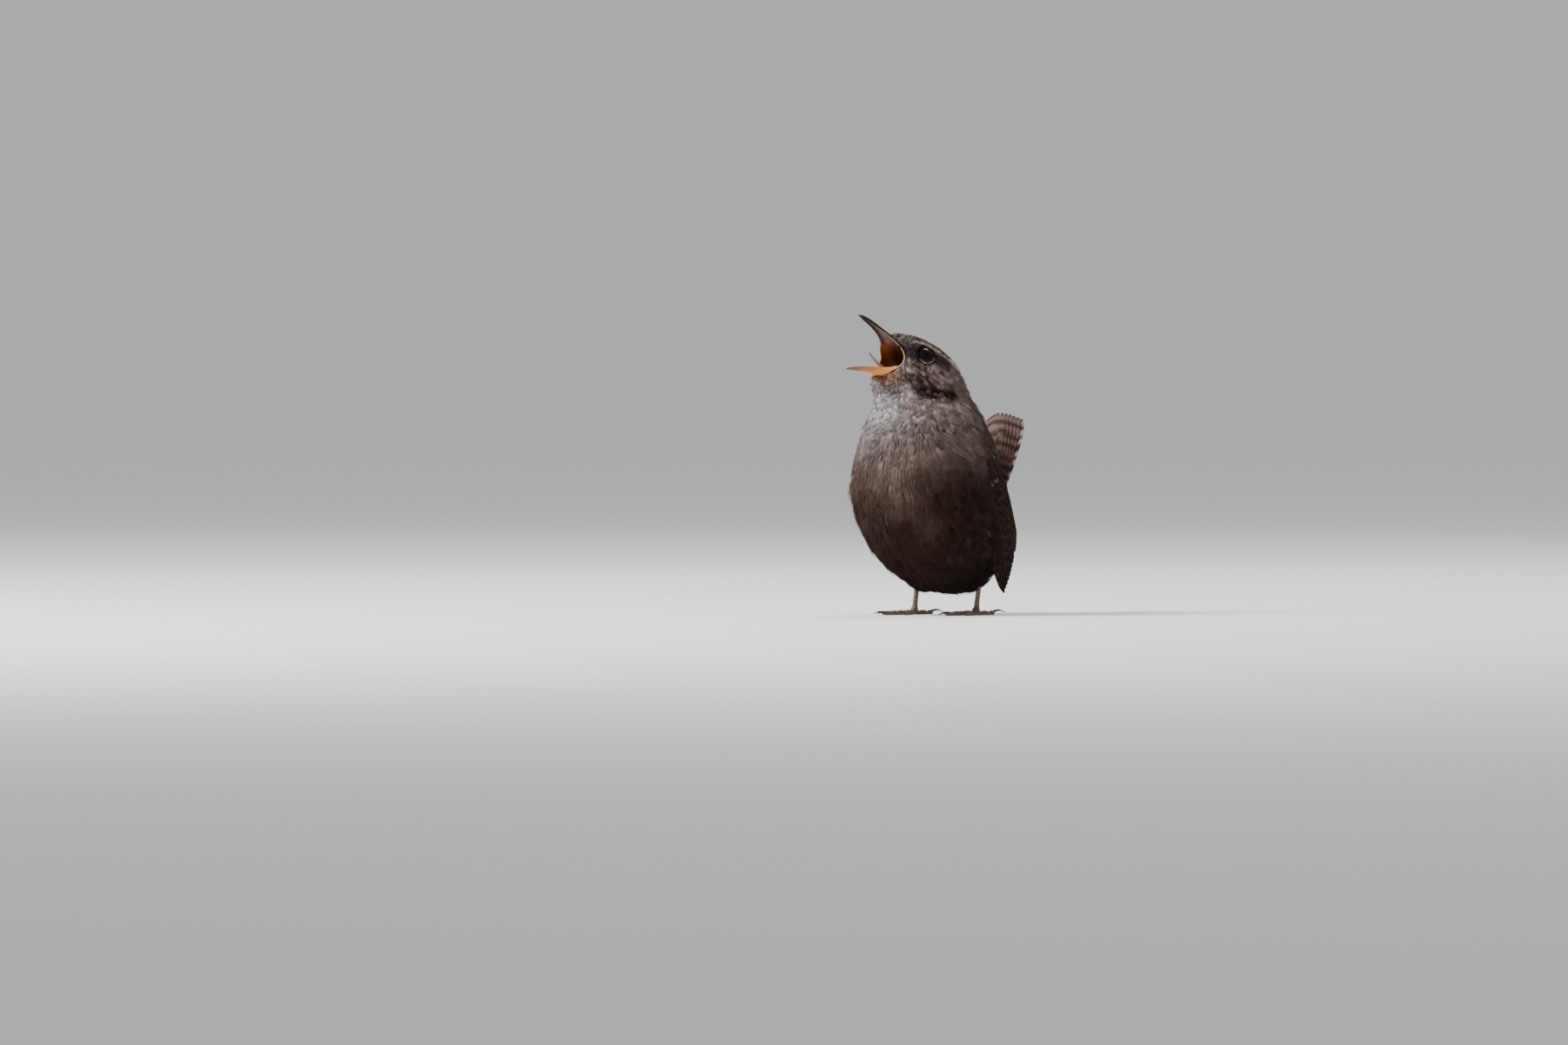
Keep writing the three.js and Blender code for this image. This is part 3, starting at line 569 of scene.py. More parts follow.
def body_tones(points, streak):
    """Throat, breast, belly, flanks and back, each fading into the next along the body."""
    station, angle, _ = on_body(points)
    round_body = round_of(angle)
    front = 1 - ramp(round_body, 30, 84)
    foremost = 1 - ramp(round_body, 8, 58)
    back = ramp(round_body, 104, 132)
    zone = station + 1.2 * (lattice(points, 6, 21) - 0.5) + 0.7 * (streak - 0.5)
    zone = zone + (1.1 * ramp(round_body, 22, 82) - 0.4) * ramp(station, 3.8, 5.2)
    throat = front * (1 - ramp(zone, 2.9, 4.9))
    spots = ramp(lattice(points, 1.3, 17), 0.42, 0.62)
    colour = np.tile(FLANK, (len(points), 1))
    for tone, amount in (
            (NECK_SIDE, 1 - ramp(zone, 4.2, 6.9)),
            (THROAT, throat),
            # the very front of the throat is paler and less mottled: partly the throat's own pale colour, partly a
            # painted rim highlight
            (NECK_SIDE * 0.75, throat * spots * (0.7 - 0.6 * foremost)),
            (THROAT_PALE, throat * (0.4 * ramp(streak, 0.52, 0.74) + foremost * 0.6)),
            (BREAST, front * band(zone, (2.9, 5), (4, 6.6))),
            (BREAST_LOW, front * band(zone, (3.8, 6.6), (5.4, 7.8))),
            (BELLY, front * ramp(zone, 5.2, 7.8) * (1 - ramp(station, 8, 9))),
            (BREAST_LOW, ramp(zone, 5, 6.5) * (1 - back) * (1 - ramp(station, 7.6, 9))
             * ramp(streak, 0.5, 0.75) * 0.3),
            (VENT, ramp(station, 8, 9)),
            (NECK_STREAK, (1 - ramp(station, 3.4, 6)) * (1 - back) * ramp(streak, 0.54, 0.76) * 0.6),
            (BREAST_LOW * 0.8, band(station, (3.6, 4.4), (6, 7)) * (1 - ramp(streak, 0.22, 0.42)) * 0.3),
            (MANTLE, back * ramp(station, 3.6, 4.6)),
            (RUMP, back * band(station, (6.6, 7.6), (9, 9.6)))):
        colour = mixed(colour, tone, amount)
    return colour, station, back


def markings(points):
    """The plumage's colour at each point."""
    x, y, z = on_face(points)
    side = np.abs(y)
    speckle = lattice(np.stack([(x - z) * 1.25, (x + z) * 0.5, y], -1), 0.9, 3)
    streak = lattice(points * (2.2, 2.2, 0.45), 1.2, 11)
    down = lattice(points, 0.7, 19)
    blotch = lattice(points, 1.1, 13)
    grains = {"speckle": speckle, "streak": streak, "down": down, "blotch": blotch}
    colour, station, back = body_tones(points, streak)
    crown_dark = back * (1 - ramp(station, 3.2, 5.2)) * (0.4 + 0.25 * ramp(station, 1.2, 3))
    colour = mixed(colour, CROWN, back * (1 - ramp(station, 2.6, 5.4)))
    colour = mixed(colour, CROWN_DARK, crown_dark * ramp(speckle, 0.4, 0.6))
    head = 1 - ramp(station, 3.1, 3.9)
    places = {
        "head": head, "cheek": head * (side > 3), "side": side > 3, "face": side > 2,
        "patch": (side > 3) * ramp(z, -12.4, -11.4),
        "chin": 1 - ramp(side, 3.4, 5.6), "bill base": 1 - ramp(side, 3.2, 5.4)}
    for tone, line, half, soft, where, least, more, grain, low, high in HEAD_MARKS.values():
        amount = least + more * ramp(grains[grain], low, high)
        colour = mixed(colour, tone, near_path(x, z, line, half, soft) * places[where] * amount)
    colour = mixed(colour, LORES * 0.6, 1 - ramp(eye_distance(points), 2.5, 3.5))
    stripe = near_path(x, z, BROW_LINE, 0.1, 0.5) * ramp(side, 3.4, 4.6)
    whole = 0.6 - 0.3 * ramp(-x, 2, 5)
    colour = mixed(colour, BROW, stripe * (whole + (1 - whole) * ramp(speckle, 0.35, 0.6)))
    # fine dark bars on the upperparts, the flanks and the vent, pale wisps by the wing, and soft mottling all over
    bars = 0.5 + 0.5 * np.sin(station * 2 * math.pi * 3.1 + 2.4 * lattice(points, 5, 5))
    barred = np.maximum(back * ramp(station, 4.4, 5.4) * 0.24, ramp(station, 6.8, 8.4) * 0.4)
    colour = colour * (1 - barred * ramp(bars, 0.55, 0.85))[:, None]
    along, across, _, _ = on_wing(points)
    edge = np.abs(across - table(along, WING_FRONT) + 0.9)
    wisp = (1 - ramp(edge, 0.4, 1.3)) * band(along, (19, 24), (30, 34))
    colour = mixed(colour, WISP * 0.8, wisp * ramp(streak, 0.4, 0.66) * 0.36)
    cloud = lattice(points, 4.5, 7) * 0.4 + lattice(points, 1.2, 8) * 0.3 + streak * 0.3
    fine = 1 + (0.5 * ramp(lattice(points, 0.55, 9), 0.2, 0.8) - 0.25) * (1 - ramp(station, 3.4, 5))
    return colour * ((0.7 + 0.6 * cloud) * fine)[:, None]


print("marks on the head:", ", ".join(HEAD_MARKS))

# %% [markdown]
# ## Materials
# Feathers scatter light softly and have almost no shine, horn is smooth and a little translucent at its edges, the
# mouth is wet and the eye is a drop of black glass. Every finish multiplies the piece's own colours by a fine grain
# and may add a fine relief, so every surface has grain at its own scale.

# %% Finishes
def add(tree, kind, inputs, **settings):
    """A node with its settings. An input is a value, or the socket that feeds it."""
    made = tree.nodes.new("ShaderNode" + kind)
    for key, value in settings.items():
        setattr(made, key, value)
    for key, value in inputs.items():
        if isinstance(value, bpy.types.NodeSocket):
            tree.links.new(value, made.inputs[key])
        else:
            made.inputs[key].default_value = value
    return made


def material(title, rough, shine, more):
    made = bpy.data.materials.new(title)
    made.use_nodes = True
    shader = made.node_tree.nodes["Principled BSDF"]
    for key, value in {"Roughness": rough, "Specular IOR Level": shine, **more}.items():
        shader.inputs[key].default_value = value
    return made, made.node_tree, shader


def noise(tree, size, detail):
    """Noise with features about `size` millimetres wide."""
    where = add(tree, "TexCoord", {}).outputs["Object"]
    return add(tree, "TexNoise", {"Vector": where, "Scale": 1 / (size * MM), "Detail": detail}).outputs["Fac"]


def cells(tree, size):
    where = add(tree, "TexCoord", {}).outputs["Object"]
    return add(tree, "TexVoronoi", {"Vector": where, "Scale": 1 / (size * MM)}).outputs["Distance"]


def finish(title, rough, shine, grain, shades, relief=None, **more):
    """A finish from its grain's size and detail, the grain's darkest and lightest share, and its relief."""
    settings = {key.replace("_", " "): value for key, value in more.items()}
    made, tree, shader = material(title, rough, shine, settings)
    own = add(tree, "Attribute", {}, attribute_name="plumage").outputs["Color"]
    share = add(tree, "MapRange", {"Value": noise(tree, *grain), "To Min": shades[0], "To Max": shades[1]})
    both = {"Factor": 1, "A": own, "B": share.outputs["Result"]}
    tone = add(tree, "Mix", both, data_type="RGBA", blend_type="MULTIPLY")
    tree.links.new(tone.outputs["Result"], shader.inputs["Base Color"])
    if relief:
        pattern, size, depth = relief
        bump = add(tree, "Bump", {"Strength": 0.6, "Distance": depth * MM, "Height": pattern(tree, *size)})
        tree.links.new(bump.outputs["Normal"], shader.inputs["Normal"])
    return made


plumage = finish("plumage", 0.82, 0.12, (0.35, 2), (0.7, 1.3), (noise, (0.12, 2), 0.02))
horn = finish(
    "horn", 0.45, 0.18, (0.5, 4), (0.86, 1.14), (noise, (0.25, 4), 0.015),
    Coat_Weight=0.05, Subsurface_Weight=0.05, Subsurface_Radius=(0.0006, 0.0003, 0.0002))
wet_flesh = finish(
    "wet_flesh", 0.36, 0.35, (0.7, 4), (0.8, 1.18), (noise, (0.3, 3), 0.03),
    Coat_Weight=0.1, Subsurface_Weight=0.1, Subsurface_Radius=(0.001, 0.0004, 0.0002))
leg_scales = finish("leg_scales", 0.5, 0.4, (0.45, 3), (0.75, 1.2), (cells, (0.34,), 0.04))
eye_gloss = finish("eye_gloss", 0.12, 0.08, (0.3, 5), (0.6, 1.4), Coat_Weight=0.06, Coat_Roughness=0.02)
print("finishes:", ", ".join(made.name for made in (plumage, horn, wet_flesh, leg_scales, eye_gloss)))

# %% [markdown]
# ## Mouth
# A singing wren shows an orange gape. Behind the two jaws the mouth is a soft funnel: its rim runs from the corner
# of the upper bill round the corner of the mouth to the lower bill, and it narrows to the throat. The rim is drawn
# once as a closed loop, and rings that shrink towards the throat make the funnel. The same shape, carried on
# forwards, also cuts the opening into the skin.

# %% Mouth funnel
CULMEN = [(8, 5.1), (10.6, 6.3), (14.4, 10.3), (17.7, 10.15)]
UPPER_EDGE = [(6.9, 1), (8.6, 4.6), (12.6, 6.9), (17.7, 9.85)]
LOWER_EDGE = [(7.4, -2.6), (10.5, -4.3), (15.5, -2.1), (21.5, -3.5)]
KEEL = [(10.9, -5.9), (13.4, -4.3), (17.5, -4.4), (21.5, -3.8)]
RIM_SIDE = np.array([  # forward, left, up of the left half of the rim, from the palate's middle to the floor's
    (10, 0, 5.5), (9.3, 2, 4.7), (7.7, 4, 2.3), (6.95, 4.75, 0.9), (6.55, 4.95, -0.4),
    (6.6, 4.95, -1.4), (7.2, 4.8, -2.5), (8.6, 3.9, -3.7), (9.6, 2.1, -4.5), (10.2, 0, -4.8)])
THROAT_END = np.array((2.2, 0, -3.4))
rim_steps = np.linspace(0, len(RIM_SIDE) - 1, 25)
rim_left = np.stack([cubic(np.arange(len(RIM_SIDE)), column, rim_steps) for column in RIM_SIDE.T], -1)
rim_left[[0, -1], 1] = 0
rim = np.concatenate([rim_left, rim_left[1:-1][::-1] * (1, -1, 1)])


def funnel(shares, title, swell=0.0, ahead=0.0, caps=True):
    """Rings from the rim (share 0) to the throat (share 1), and if asked one carried on forwards."""
    middle = rim.mean(0)
    wide = (rim - middle) * (1 + swell)
    rings = [middle + wide + (ahead, 0, 0.25 * ahead)] if ahead else []
    for share in shares:
        turn = share * math.pi / 2
        rings.append(middle + wide * math.cos(turn) + (THROAT_END - middle) * math.sin(turn))
    return tube(np.array([on_head(*ring.T) for ring in rings]), title, caps)


cutter = funnel(np.linspace(0, 0.96, 9), "mouth_cutter", swell=0.03, ahead=9)
right_way_out(cutter)
print("mouth", round(np.ptp(rim[:, 1]), 1), "mm wide and", round(np.ptp(rim[:, 2]), 1), "mm high at its rim")

# %% [markdown]
# ## Skin
# One skin replaces the head, neck, torso and thighs, so that no joint between them shows. The copied solids are
# swollen until they meet, the mouth is cut out, and a voxel remesh makes one surface. It then sinks inwards by the
# depth of the feathers: little on the face, more on the breast, and not at all at the lids and the mouth.

# %% Skin
SWELL = 0.25
VOXEL = 0.42
FLESH = ("head", "neck", "torso", "thigh_left", "thigh_right")
FEET = {"left": (-2, 8), "right": (4, 8)}
SHANK_SLOPE = 0.17
skin = copied(FLESH, "skin")
modify(skin, "DISPLACE", strength=SWELL * MM, mid_level=0)
modify(skin, "BOOLEAN", operation="DIFFERENCE", object=cutter, solver="EXACT")
modify(skin, "REMESH", mode="VOXEL", voxel_size=VOXEL * MM)
bpy.data.objects.remove(cutter)


def rim_distance(points):
    return np.min([np.linalg.norm(points - corner, axis=1) for corner in on_head(*rim.T)], axis=0)


def shank_axis(points, name):
    """The point of a leg's axis at each point's height."""
    forward, out = FEET[name]
    up = points[:, 2]
    return place(forward - (up - 1) * SHANK_SLOPE, SIDES[name] * out, up)


def leg_distance(points):
    """How far each point is from the nearer leg's axis, and more above the belly's underside."""
    nearer = [np.linalg.norm(points - shank_axis(points, name), axis=1) for name in FEET]
    return np.minimum(*nearer) + np.maximum(points[:, 2] - 13, 0)


def coat_depth(points):
    station, _, _ = on_body(points)
    depth = 0.45 + 0.5 * ramp(station, 1.5, 3.4) + 0.6 * ramp(station, 3.4, 5.5)
    for distance, low, high in ((eye_distance(points), 2.5, 5), (leg_distance(points), 2, 4.5)):
        depth = depth * (0.1 + 0.9 * ramp(distance, low, high))
    return depth * ramp(rim_distance(points), 0.4, 2.6)


points = points_of(skin)
set_points(skin, points - normals_of(skin) * (SWELL + coat_depth(points))[:, None])
modify(skin, "SMOOTH", factor=0.5, iterations=4)
add_colours(skin, markings(points_of(skin)) * SKIN_TONE)
edit(skin, bpy.ops.mesh.quads_convert_to_tris)
edit(skin, bpy.ops.uv.smart_project, angle_limit=math.radians(66), island_margin=0.002)
skin.data.uv_layers[0].name = "OFBake"
keep(skin, plumage, "plumage", *FLESH)

# %% Funnel of the mouth, laid inside the opening
GAPE_DEEP_SHADE = paint(40, 12, 6)
GAPE_ORANGE = paint(122, 62, 17)
GAPE_PALE = paint(160, 104, 48)
LINING_RINGS = 20
LINING_THICK = 0.16
mouth = funnel(np.linspace(0, 0.97, LINING_RINGS), "mouth_lining", caps=False)
depth_in = np.repeat(np.linspace(0, 1, LINING_RINGS), len(rim))
# painted shade: the lining darkens from orange to near black deeper towards the throat
inner = mixed(GAPE_ORANGE, GAPE_DEEP_SHADE, ramp(depth_in, 0.1, 0.6))
add_colours(mouth, mixed(inner, GAPE_PALE, (1 - ramp(depth_in, 0, 0.06)) * 0.5))
modify(mouth, "SOLIDIFY", thickness=LINING_THICK * MM, offset=1)
modify(mouth, "SUBSURF", levels=1, render_levels=1)
x, y, z = on_face(points_of(mouth))
_, facing_left, facing_up = on_face(points_of(mouth) + normals_of(mouth))
outside = ramp((facing_left - y) * y + (facing_up - z) * (z + 0.5), 0.3, 1.5) * (x > 4)
shades = mouth.data.color_attributes["plumage"].data
write(shades, "color", np.c_[mixed(read(shades, "color", 4)[:, :3], LORES, outside), np.ones(len(x))])
keep(mouth, wet_flesh, "tongue")

# %% [markdown]
# ## Coat
# Each small body feather shows as a tuft: six slender blades that leave one root, lie along the body and end in fine
# points. A blade is a closed sliver with five points, widest near its middle. The roots are drawn at random over the
# skin, closer together and smaller on the face, and the tips come out to where the solids' surface is.

# %% Roots over the skin
TUFTS = 31000
TUFTS_A_FEATHER = 16
BARE_LID = 2.6
skin.data.calc_loop_triangles()
faces = skin.data.loop_triangles
triangles = read(faces, "vertices", 3, np.int32)
triangle_maps = read(skin.data.uv_layers["OFBake"].data, "uv", 2)[read(faces, "loops", 3, np.int32)].astype(float)
skin_points = points_of(skin)
skin_normals = normals_of(skin)
corners = skin_points[triangles]
areas = np.linalg.norm(np.cross(corners[:, 1] - corners[:, 0], corners[:, 2] - corners[:, 0]), axis=1) / 2
centres = (corners[:, 0] + corners[:, 1] + corners[:, 2]) / 3
skin_tree = BVHTree.FromPolygons([Vector(p) for p in skin_points], triangles.tolist())
print("skin area", round(areas.sum()), "mm2")


def in_mouth(points):
    """True inside the funnel's rim and between the jaws, where no feather grows."""
    x, y, z = on_face(points)
    behind_rim = x > np.interp(np.abs(z + 0.9), [0, 2, 4, 6.2], [6.6, 6.9, 8.2, 9.4])
    inner = ((x - 5) / 6) ** 2 + (y / 4.4) ** 2 + ((z + 0.8) / 4.4) ** 2 < 1
    return (rim_distance(points) < 0.14) | inner | (behind_rim & (np.abs(y) < 4.5) & (z < 4.8) & (z > -4.6))


station, _, _ = on_body(centres)
weight = 1 + 3.2 * (1 - ramp(station, 2.4, 4)) + 0.6 * ramp(station, 8, 9)
weight = weight * (1 + 1.5 * (1 - ramp(rim_distance(centres), 0.8, 2.4)))
weight = areas * (weight * (eye_distance(centres) > BARE_LID) * ~in_mouth(centres))
rng = np.random.default_rng(7)
chosen = rng.choice(len(areas), TUFTS, p=weight / weight.sum())
u, v = rng.random((2, TUFTS))
flip = u + v > 1
u, v = np.where(flip, 1 - u, u), np.where(flip, 1 - v, v)
shares = np.stack([1 - u - v, u, v], -1)[:, :, None]
roots = (corners[chosen] * shares).sum(1)
root_normals = unit((skin_normals[triangles[chosen]] * shares).sum(1))
root_maps = (triangle_maps[chosen] * shares).sum(1)
station, angle, lie = on_body(roots)
print("tufts", len(roots))

# %% Lie and length of each tuft
STRAY_SHARE = 0.035


def along_surface(vectors, normals):
    return unit(vectors - (vectors * normals).sum(-1, keepdims=True) * normals)


def nearest(points):
    """The nearest place on the skin, its way out and its triangle."""
    found = [skin_tree.find_nearest(Vector(p)) for p in points]
    return (np.array([tuple(f[0]) for f in found]), np.array([tuple(f[1]) for f in found]),
            np.array([f[2] for f in found]))


def onto_wing(points):
    """Points near a wing, moved out to lie on top of it."""
    along, across, level, out = on_wing(points)
    front, rear = table(along, WING_FRONT), table(along, WING_REAR)
    top = 2.5 - 1.5 * ramp(along, 10, 20)
    inside = ramp(across, front - 1.6, front + 0.6) * (1 - ramp(across, front + 3.5, front + 5) * ramp(along, 3, 7))
    inside = inside * band(along, (-4, 0.5), (34, 40)) * (1 - ramp(across, rear, rear + 2)) * ramp(level, -3.6, -2)
    return points + out * (np.maximum(top - level, 0) * inside)[:, None]


def under_feathers(points):
    """True under a folded wing and inside the root of the tail."""
    along, across, level, _ = on_wing(points)
    hidden = (along > 5) & (along < 35) & (level < 2)
    hidden &= (across - table(along, WING_FRONT) > 2) & (table(along, WING_REAR) - across > 3.5)
    offset = points - tail_start
    sides = ((LEFT, 0, 3.4), (tail_up, 1, 3.5), (tail_face, 0, 2.6))
    return hidden | np.all([np.abs(offset @ way - middle) < half for way, middle, half in sides], axis=0)


grown = ~under_feathers(roots)
roots, root_normals, root_maps = roots[grown], root_normals[grown], root_maps[grown]
station, angle, lie = station[grown], angle[grown], lie[grown]
count = len(roots)
round_body = round_of(angle)
long = 1.35 + 1.3 * ramp(station, 1.2, 3) + 2.3 * ramp(station, 3, 5) + 0.9 * ramp(station, 7.6, 9)
long = long * rng.uniform(0.8, 1.2, count)
long = long * (0.45 + 0.55 * ramp(eye_distance(roots), 2.4, 5)) * (0.6 + 0.4 * ramp(rim_distance(roots), 0.6, 3.5))
lift = coat_depth(roots) * rng.uniform(0.7, 1.06, count) + 0.12
stray = (rng.random(count) < STRAY_SHARE) * ramp(station, 1.8, 3.2)
lift = lift * (1 + stray * rng.uniform(0.2, 0.7, count))
long = long * (1 + 0.25 * stray)
sweep = 0.6 * band(round_body, (35, 80), (100, 150)) * band(station, (2.6, 4.2), (6.6, 8))
lie = unit(lie + outer(sweep, place(-1, 0, 0)))
lie = along_surface(lie + rng.normal(0, 0.12, lie.shape), root_normals)
middle, middle_normal, _ = nearest(roots + lie * (long * 0.5)[:, None])
middle_normal = unit(middle_normal + root_normals * 0.5)
middle_lie = along_surface(lie, middle_normal)
end, end_normal, _ = nearest(middle + middle_lie * (long * 0.55)[:, None])
end_normal = unit(end_normal + middle_normal * 0.5)
end_lie = along_surface(middle_lie, end_normal)
stubbed = in_mouth(end) | in_mouth(middle)
print("tufts kept", count, "mean length", round(long.mean(), 2), "mm")

# %% Tufts gathered into feathers
# neighbouring tufts belong to one feather: they share its tone, close up towards its middle line and lift its tip
owners = rng.choice(count, count // TUFTS_A_FEATHER, replace=False)
feather_tree = KDTree(len(owners))
for number, which in enumerate(owners):
    feather_tree.insert(Vector(roots[which]), number)
feather_tree.balance()
own = np.array([feather_tree.find(Vector(p))[1] for p in roots])
offset = roots - roots[owners][own]
towards_tip = np.clip((offset * lie).sum(1) / (0.5 * long), -1, 1)
aside = (offset * np.cross(root_normals, lie)).sum(1)
feather_tone = rng.uniform(0.84, 1.16, len(owners))[own] * (1 + 0.1 * towards_tip)
feather_tone = feather_tone * (1 - 0.16 * ramp(np.abs(aside), 0.15 * long, 0.42 * long))
middle = middle - np.cross(middle_normal, middle_lie) * (0.15 * aside)[:, None]
end = end - np.cross(end_normal, end_lie) * (0.4 * aside)[:, None]
wide = 0.13 + 0.03 * ramp(station, 1.5, 3.2) + 0.05 * ramp(station, 3.2, 5.5)
coat = {
    "root": roots, "root_out": root_normals, "root_lie": lie, "map": root_maps,
    "middle": onto_wing(middle), "middle_out": middle_normal, "middle_lie": middle_lie,
    "end": onto_wing(end), "end_out": end_normal, "end_lie": end_lie,
    "tone": markings(roots + lie * (long * 0.5)[:, None]) * feather_tone[:, None],
    "lift": lift * (1 + 0.22 * towards_tip),
    "wide": wide * 1,
    "spread": 0.26 + 0.15 * ramp(station, 1.5, 3) + 0.35 * ramp(station, 3, 5),
}
print("feathers", len(owners))

# %% Blades
BLADES = 6
SLIVER_FACES = np.array([(0, 2, 1), (0, 3, 2), (0, 1, 3), (4, 1, 2), (4, 2, 3), (4, 3, 1)])
BLADE_TONES = (0.5, 0.88, 0.88, 0.96, 1.2)
PATCH = 0.003
BLADE_PATCH = np.array([(0.3, -1), (0.6, 0), (0.8, 0), (0.7, 0.1), (1, 1)]) * PATCH / 2
WIDEST = 17.5
DRAWN_IN = 0.65


def copies(faces, many, points):
    """The same few faces for each of many alike pieces."""
    return (np.arange(many)[:, None, None] * points + faces).reshape(-1, 3)


def blades(title, growth, seed, which=slice(None)):
    """Tufts as one mesh: each blade is a closed sliver from its root over its middle to its tip."""
    part = {key: value[which] for key, value in growth.items()}
    draw = np.random.default_rng(seed)
    many = len(part["root"])
    sides = [np.cross(part[at + "_out"], part[at + "_lie"]) for at in ("root", "middle", "end")]
    points, colours, maps = [], [], []
    tuft_tone = draw.uniform(0.8, 1.22, many)
    half_way = (BLADES - 1) / 2
    for k in range(BLADES):
        across = (k - half_way) / half_way + draw.uniform(-0.25, 0.25, many)
        reach = (draw.uniform(0.78, 1.12, many) * (1 - 0.12 * np.abs(across)))[:, None]
        half = (part["wide"] * draw.uniform(0.75, 1.3, many) / 2)[:, None]
        rise = (part["lift"] * draw.uniform(0.75, 1.15, many))[:, None]
        out = (across * part["spread"])[:, None]
        root = part["root"] - part["root_out"] * 0.12 + sides[0] * out * 0.3
        mid = part["middle"] + sides[1] * out * 0.75 + part["middle_out"] * rise * 0.62
        tip = part["end"] + sides[2] * out * 1.15 + part["end_out"] * rise * 0.92
        points.append(np.stack([
            root, mid - sides[1] * half, mid + sides[1] * half,
            mid + part["middle_out"] * half * 0.56, mid + (tip - mid) * reach], 1))
        tone = part["tone"] * (tuft_tone * draw.uniform(0.9, 1.1, many))[:, None]
        colours.append(np.stack([tone * share for share in BLADE_TONES], 1))
        shifts = np.stack(np.broadcast_arrays(across[:, None] * BLADE_PATCH[:, 0], BLADE_PATCH[:, 1]), -1)
        maps.append(part["map"][:, None] + shifts)
    points = np.concatenate(points).reshape(-1, 3)
    beyond = np.clip(np.abs(points[:, 0]) - WIDEST, 0, None)
    points[:, 0] = points[:, 0] - DRAWN_IN * beyond * np.sign(points[:, 0])
    item = mesh_of(title, points, copies(SLIVER_FACES, many * BLADES, 5))
    add_colours(item, np.concatenate(colours).reshape(-1, 3))
    add_map(item, np.concatenate(maps).reshape(-1, 2))
    return item


REGIONS = [  # name, stations from and to, angles from and to, in two halves, slot
    ("face", 0, 2, 0, 150, True, "plumage"),
    ("crown", 0, 4, 130, 181, True, "crown"),
    ("cheek", 2, 3.4, 0, 130, True, "plumage"),
    ("throat", 3.4, 4.7, 0, 130, False, "throat"),
    ("breast", 4.7, 6.3, 0, 115, True, "plumage"),
    ("belly", 6.3, 8, 0, 115, True, "plumage"),
    ("vent", 8, 11, 0, 181, False, "plumage"),
    ("back", 0, 11, 0, 181, False, "plumage"),
]
left_side = roots[:, 0] > 0
WHOLE = {"": roots[:, 2] > 0}
HALVES = {"_left": left_side, "_right": ~left_side}
free = ~stubbed
seed = 20
for name, start, stop, low, high, halves, slot in REGIONS:
    where = (station >= start) & (station < stop) & (round_body >= low) & (round_body < high)
    for suffix, half in (HALVES if halves else WHOLE).items():
        which = np.flatnonzero(where & half & free)
        free[which] = False
        keep(blades(f"coat_{name}{suffix}", coat, seed, which), plumage, slot)
        seed += 1

# %% [markdown]
# ## Flight feathers
# A flight feather is a shaft with two vanes of fine side branches, the barbs. Each one here is a thin closed plate
# with a raised shaft, and hundreds of slender barbs that lie over the plate and run a little past its edge, so the
# outline is soft and slightly frayed. Bars and edges are painted by the place along and across the feather.

# %% Feather builder
COLUMNS = np.array([-1, -0.8, -0.55, -0.3, -0.08, 0, 0.08, 0.3, 0.55, 0.8, 1])
FLIGHT_SHAPE = [(0, 0.45), (0.25, 0.85), (0.55, 1), (0.8, 0.94), (0.94, 0.62), (1, 0.14)]
COVERT_SHAPE = [(0, 0.5), (0.5, 1), (0.82, 0.9), (0.95, 0.5), (1, 0.12)]
BARB_FACES = np.array([(0, 2, 3), (0, 3, 1), (0, 4, 2), (0, 1, 4), (5, 3, 2), (5, 1, 3), (5, 2, 4), (5, 4, 1)])
BARB_PATCH = np.array([(0, -1), (-1, 0), (1, 0), (0, 0.2), (0, -0.2), (0, 1)]) * PATCH / 2
FEATHER_PATCH = (0.02, 0.08)
THIN = 0.1
CROWNED = 0.12
BARB_GAP = 0.23
BARB_STEP = 0.15
ROW_GAP = 1.1
SHAFT = 0.07
SHAFT_TONE = 0.62


def plate_faces(rows, columns):
    """Triangles of a closed plate: its upper points first, then as many under them."""
    grid = np.arange(rows * columns).reshape(rows, columns)
    half = grid.size
    a, b, c, d = grid[:-1, :-1], grid[:-1, 1:], grid[1:, 1:], grid[1:, :-1]
    skins = np.stack([a, b, c, a, c, d, half + a, half + c, half + b, half + a, half + d, half + c], -1)
    loop = np.concatenate([grid[0, :-1], grid[:-1, -1], grid[-1, :0:-1], grid[:0:-1, 0]])
    after = np.roll(loop, -1)
    walls = np.stack([loop, half + loop, after, after, half + loop, half + after], -1)
    return np.concatenate([skins.reshape(-1, 3), walls.reshape(-1, 3)])


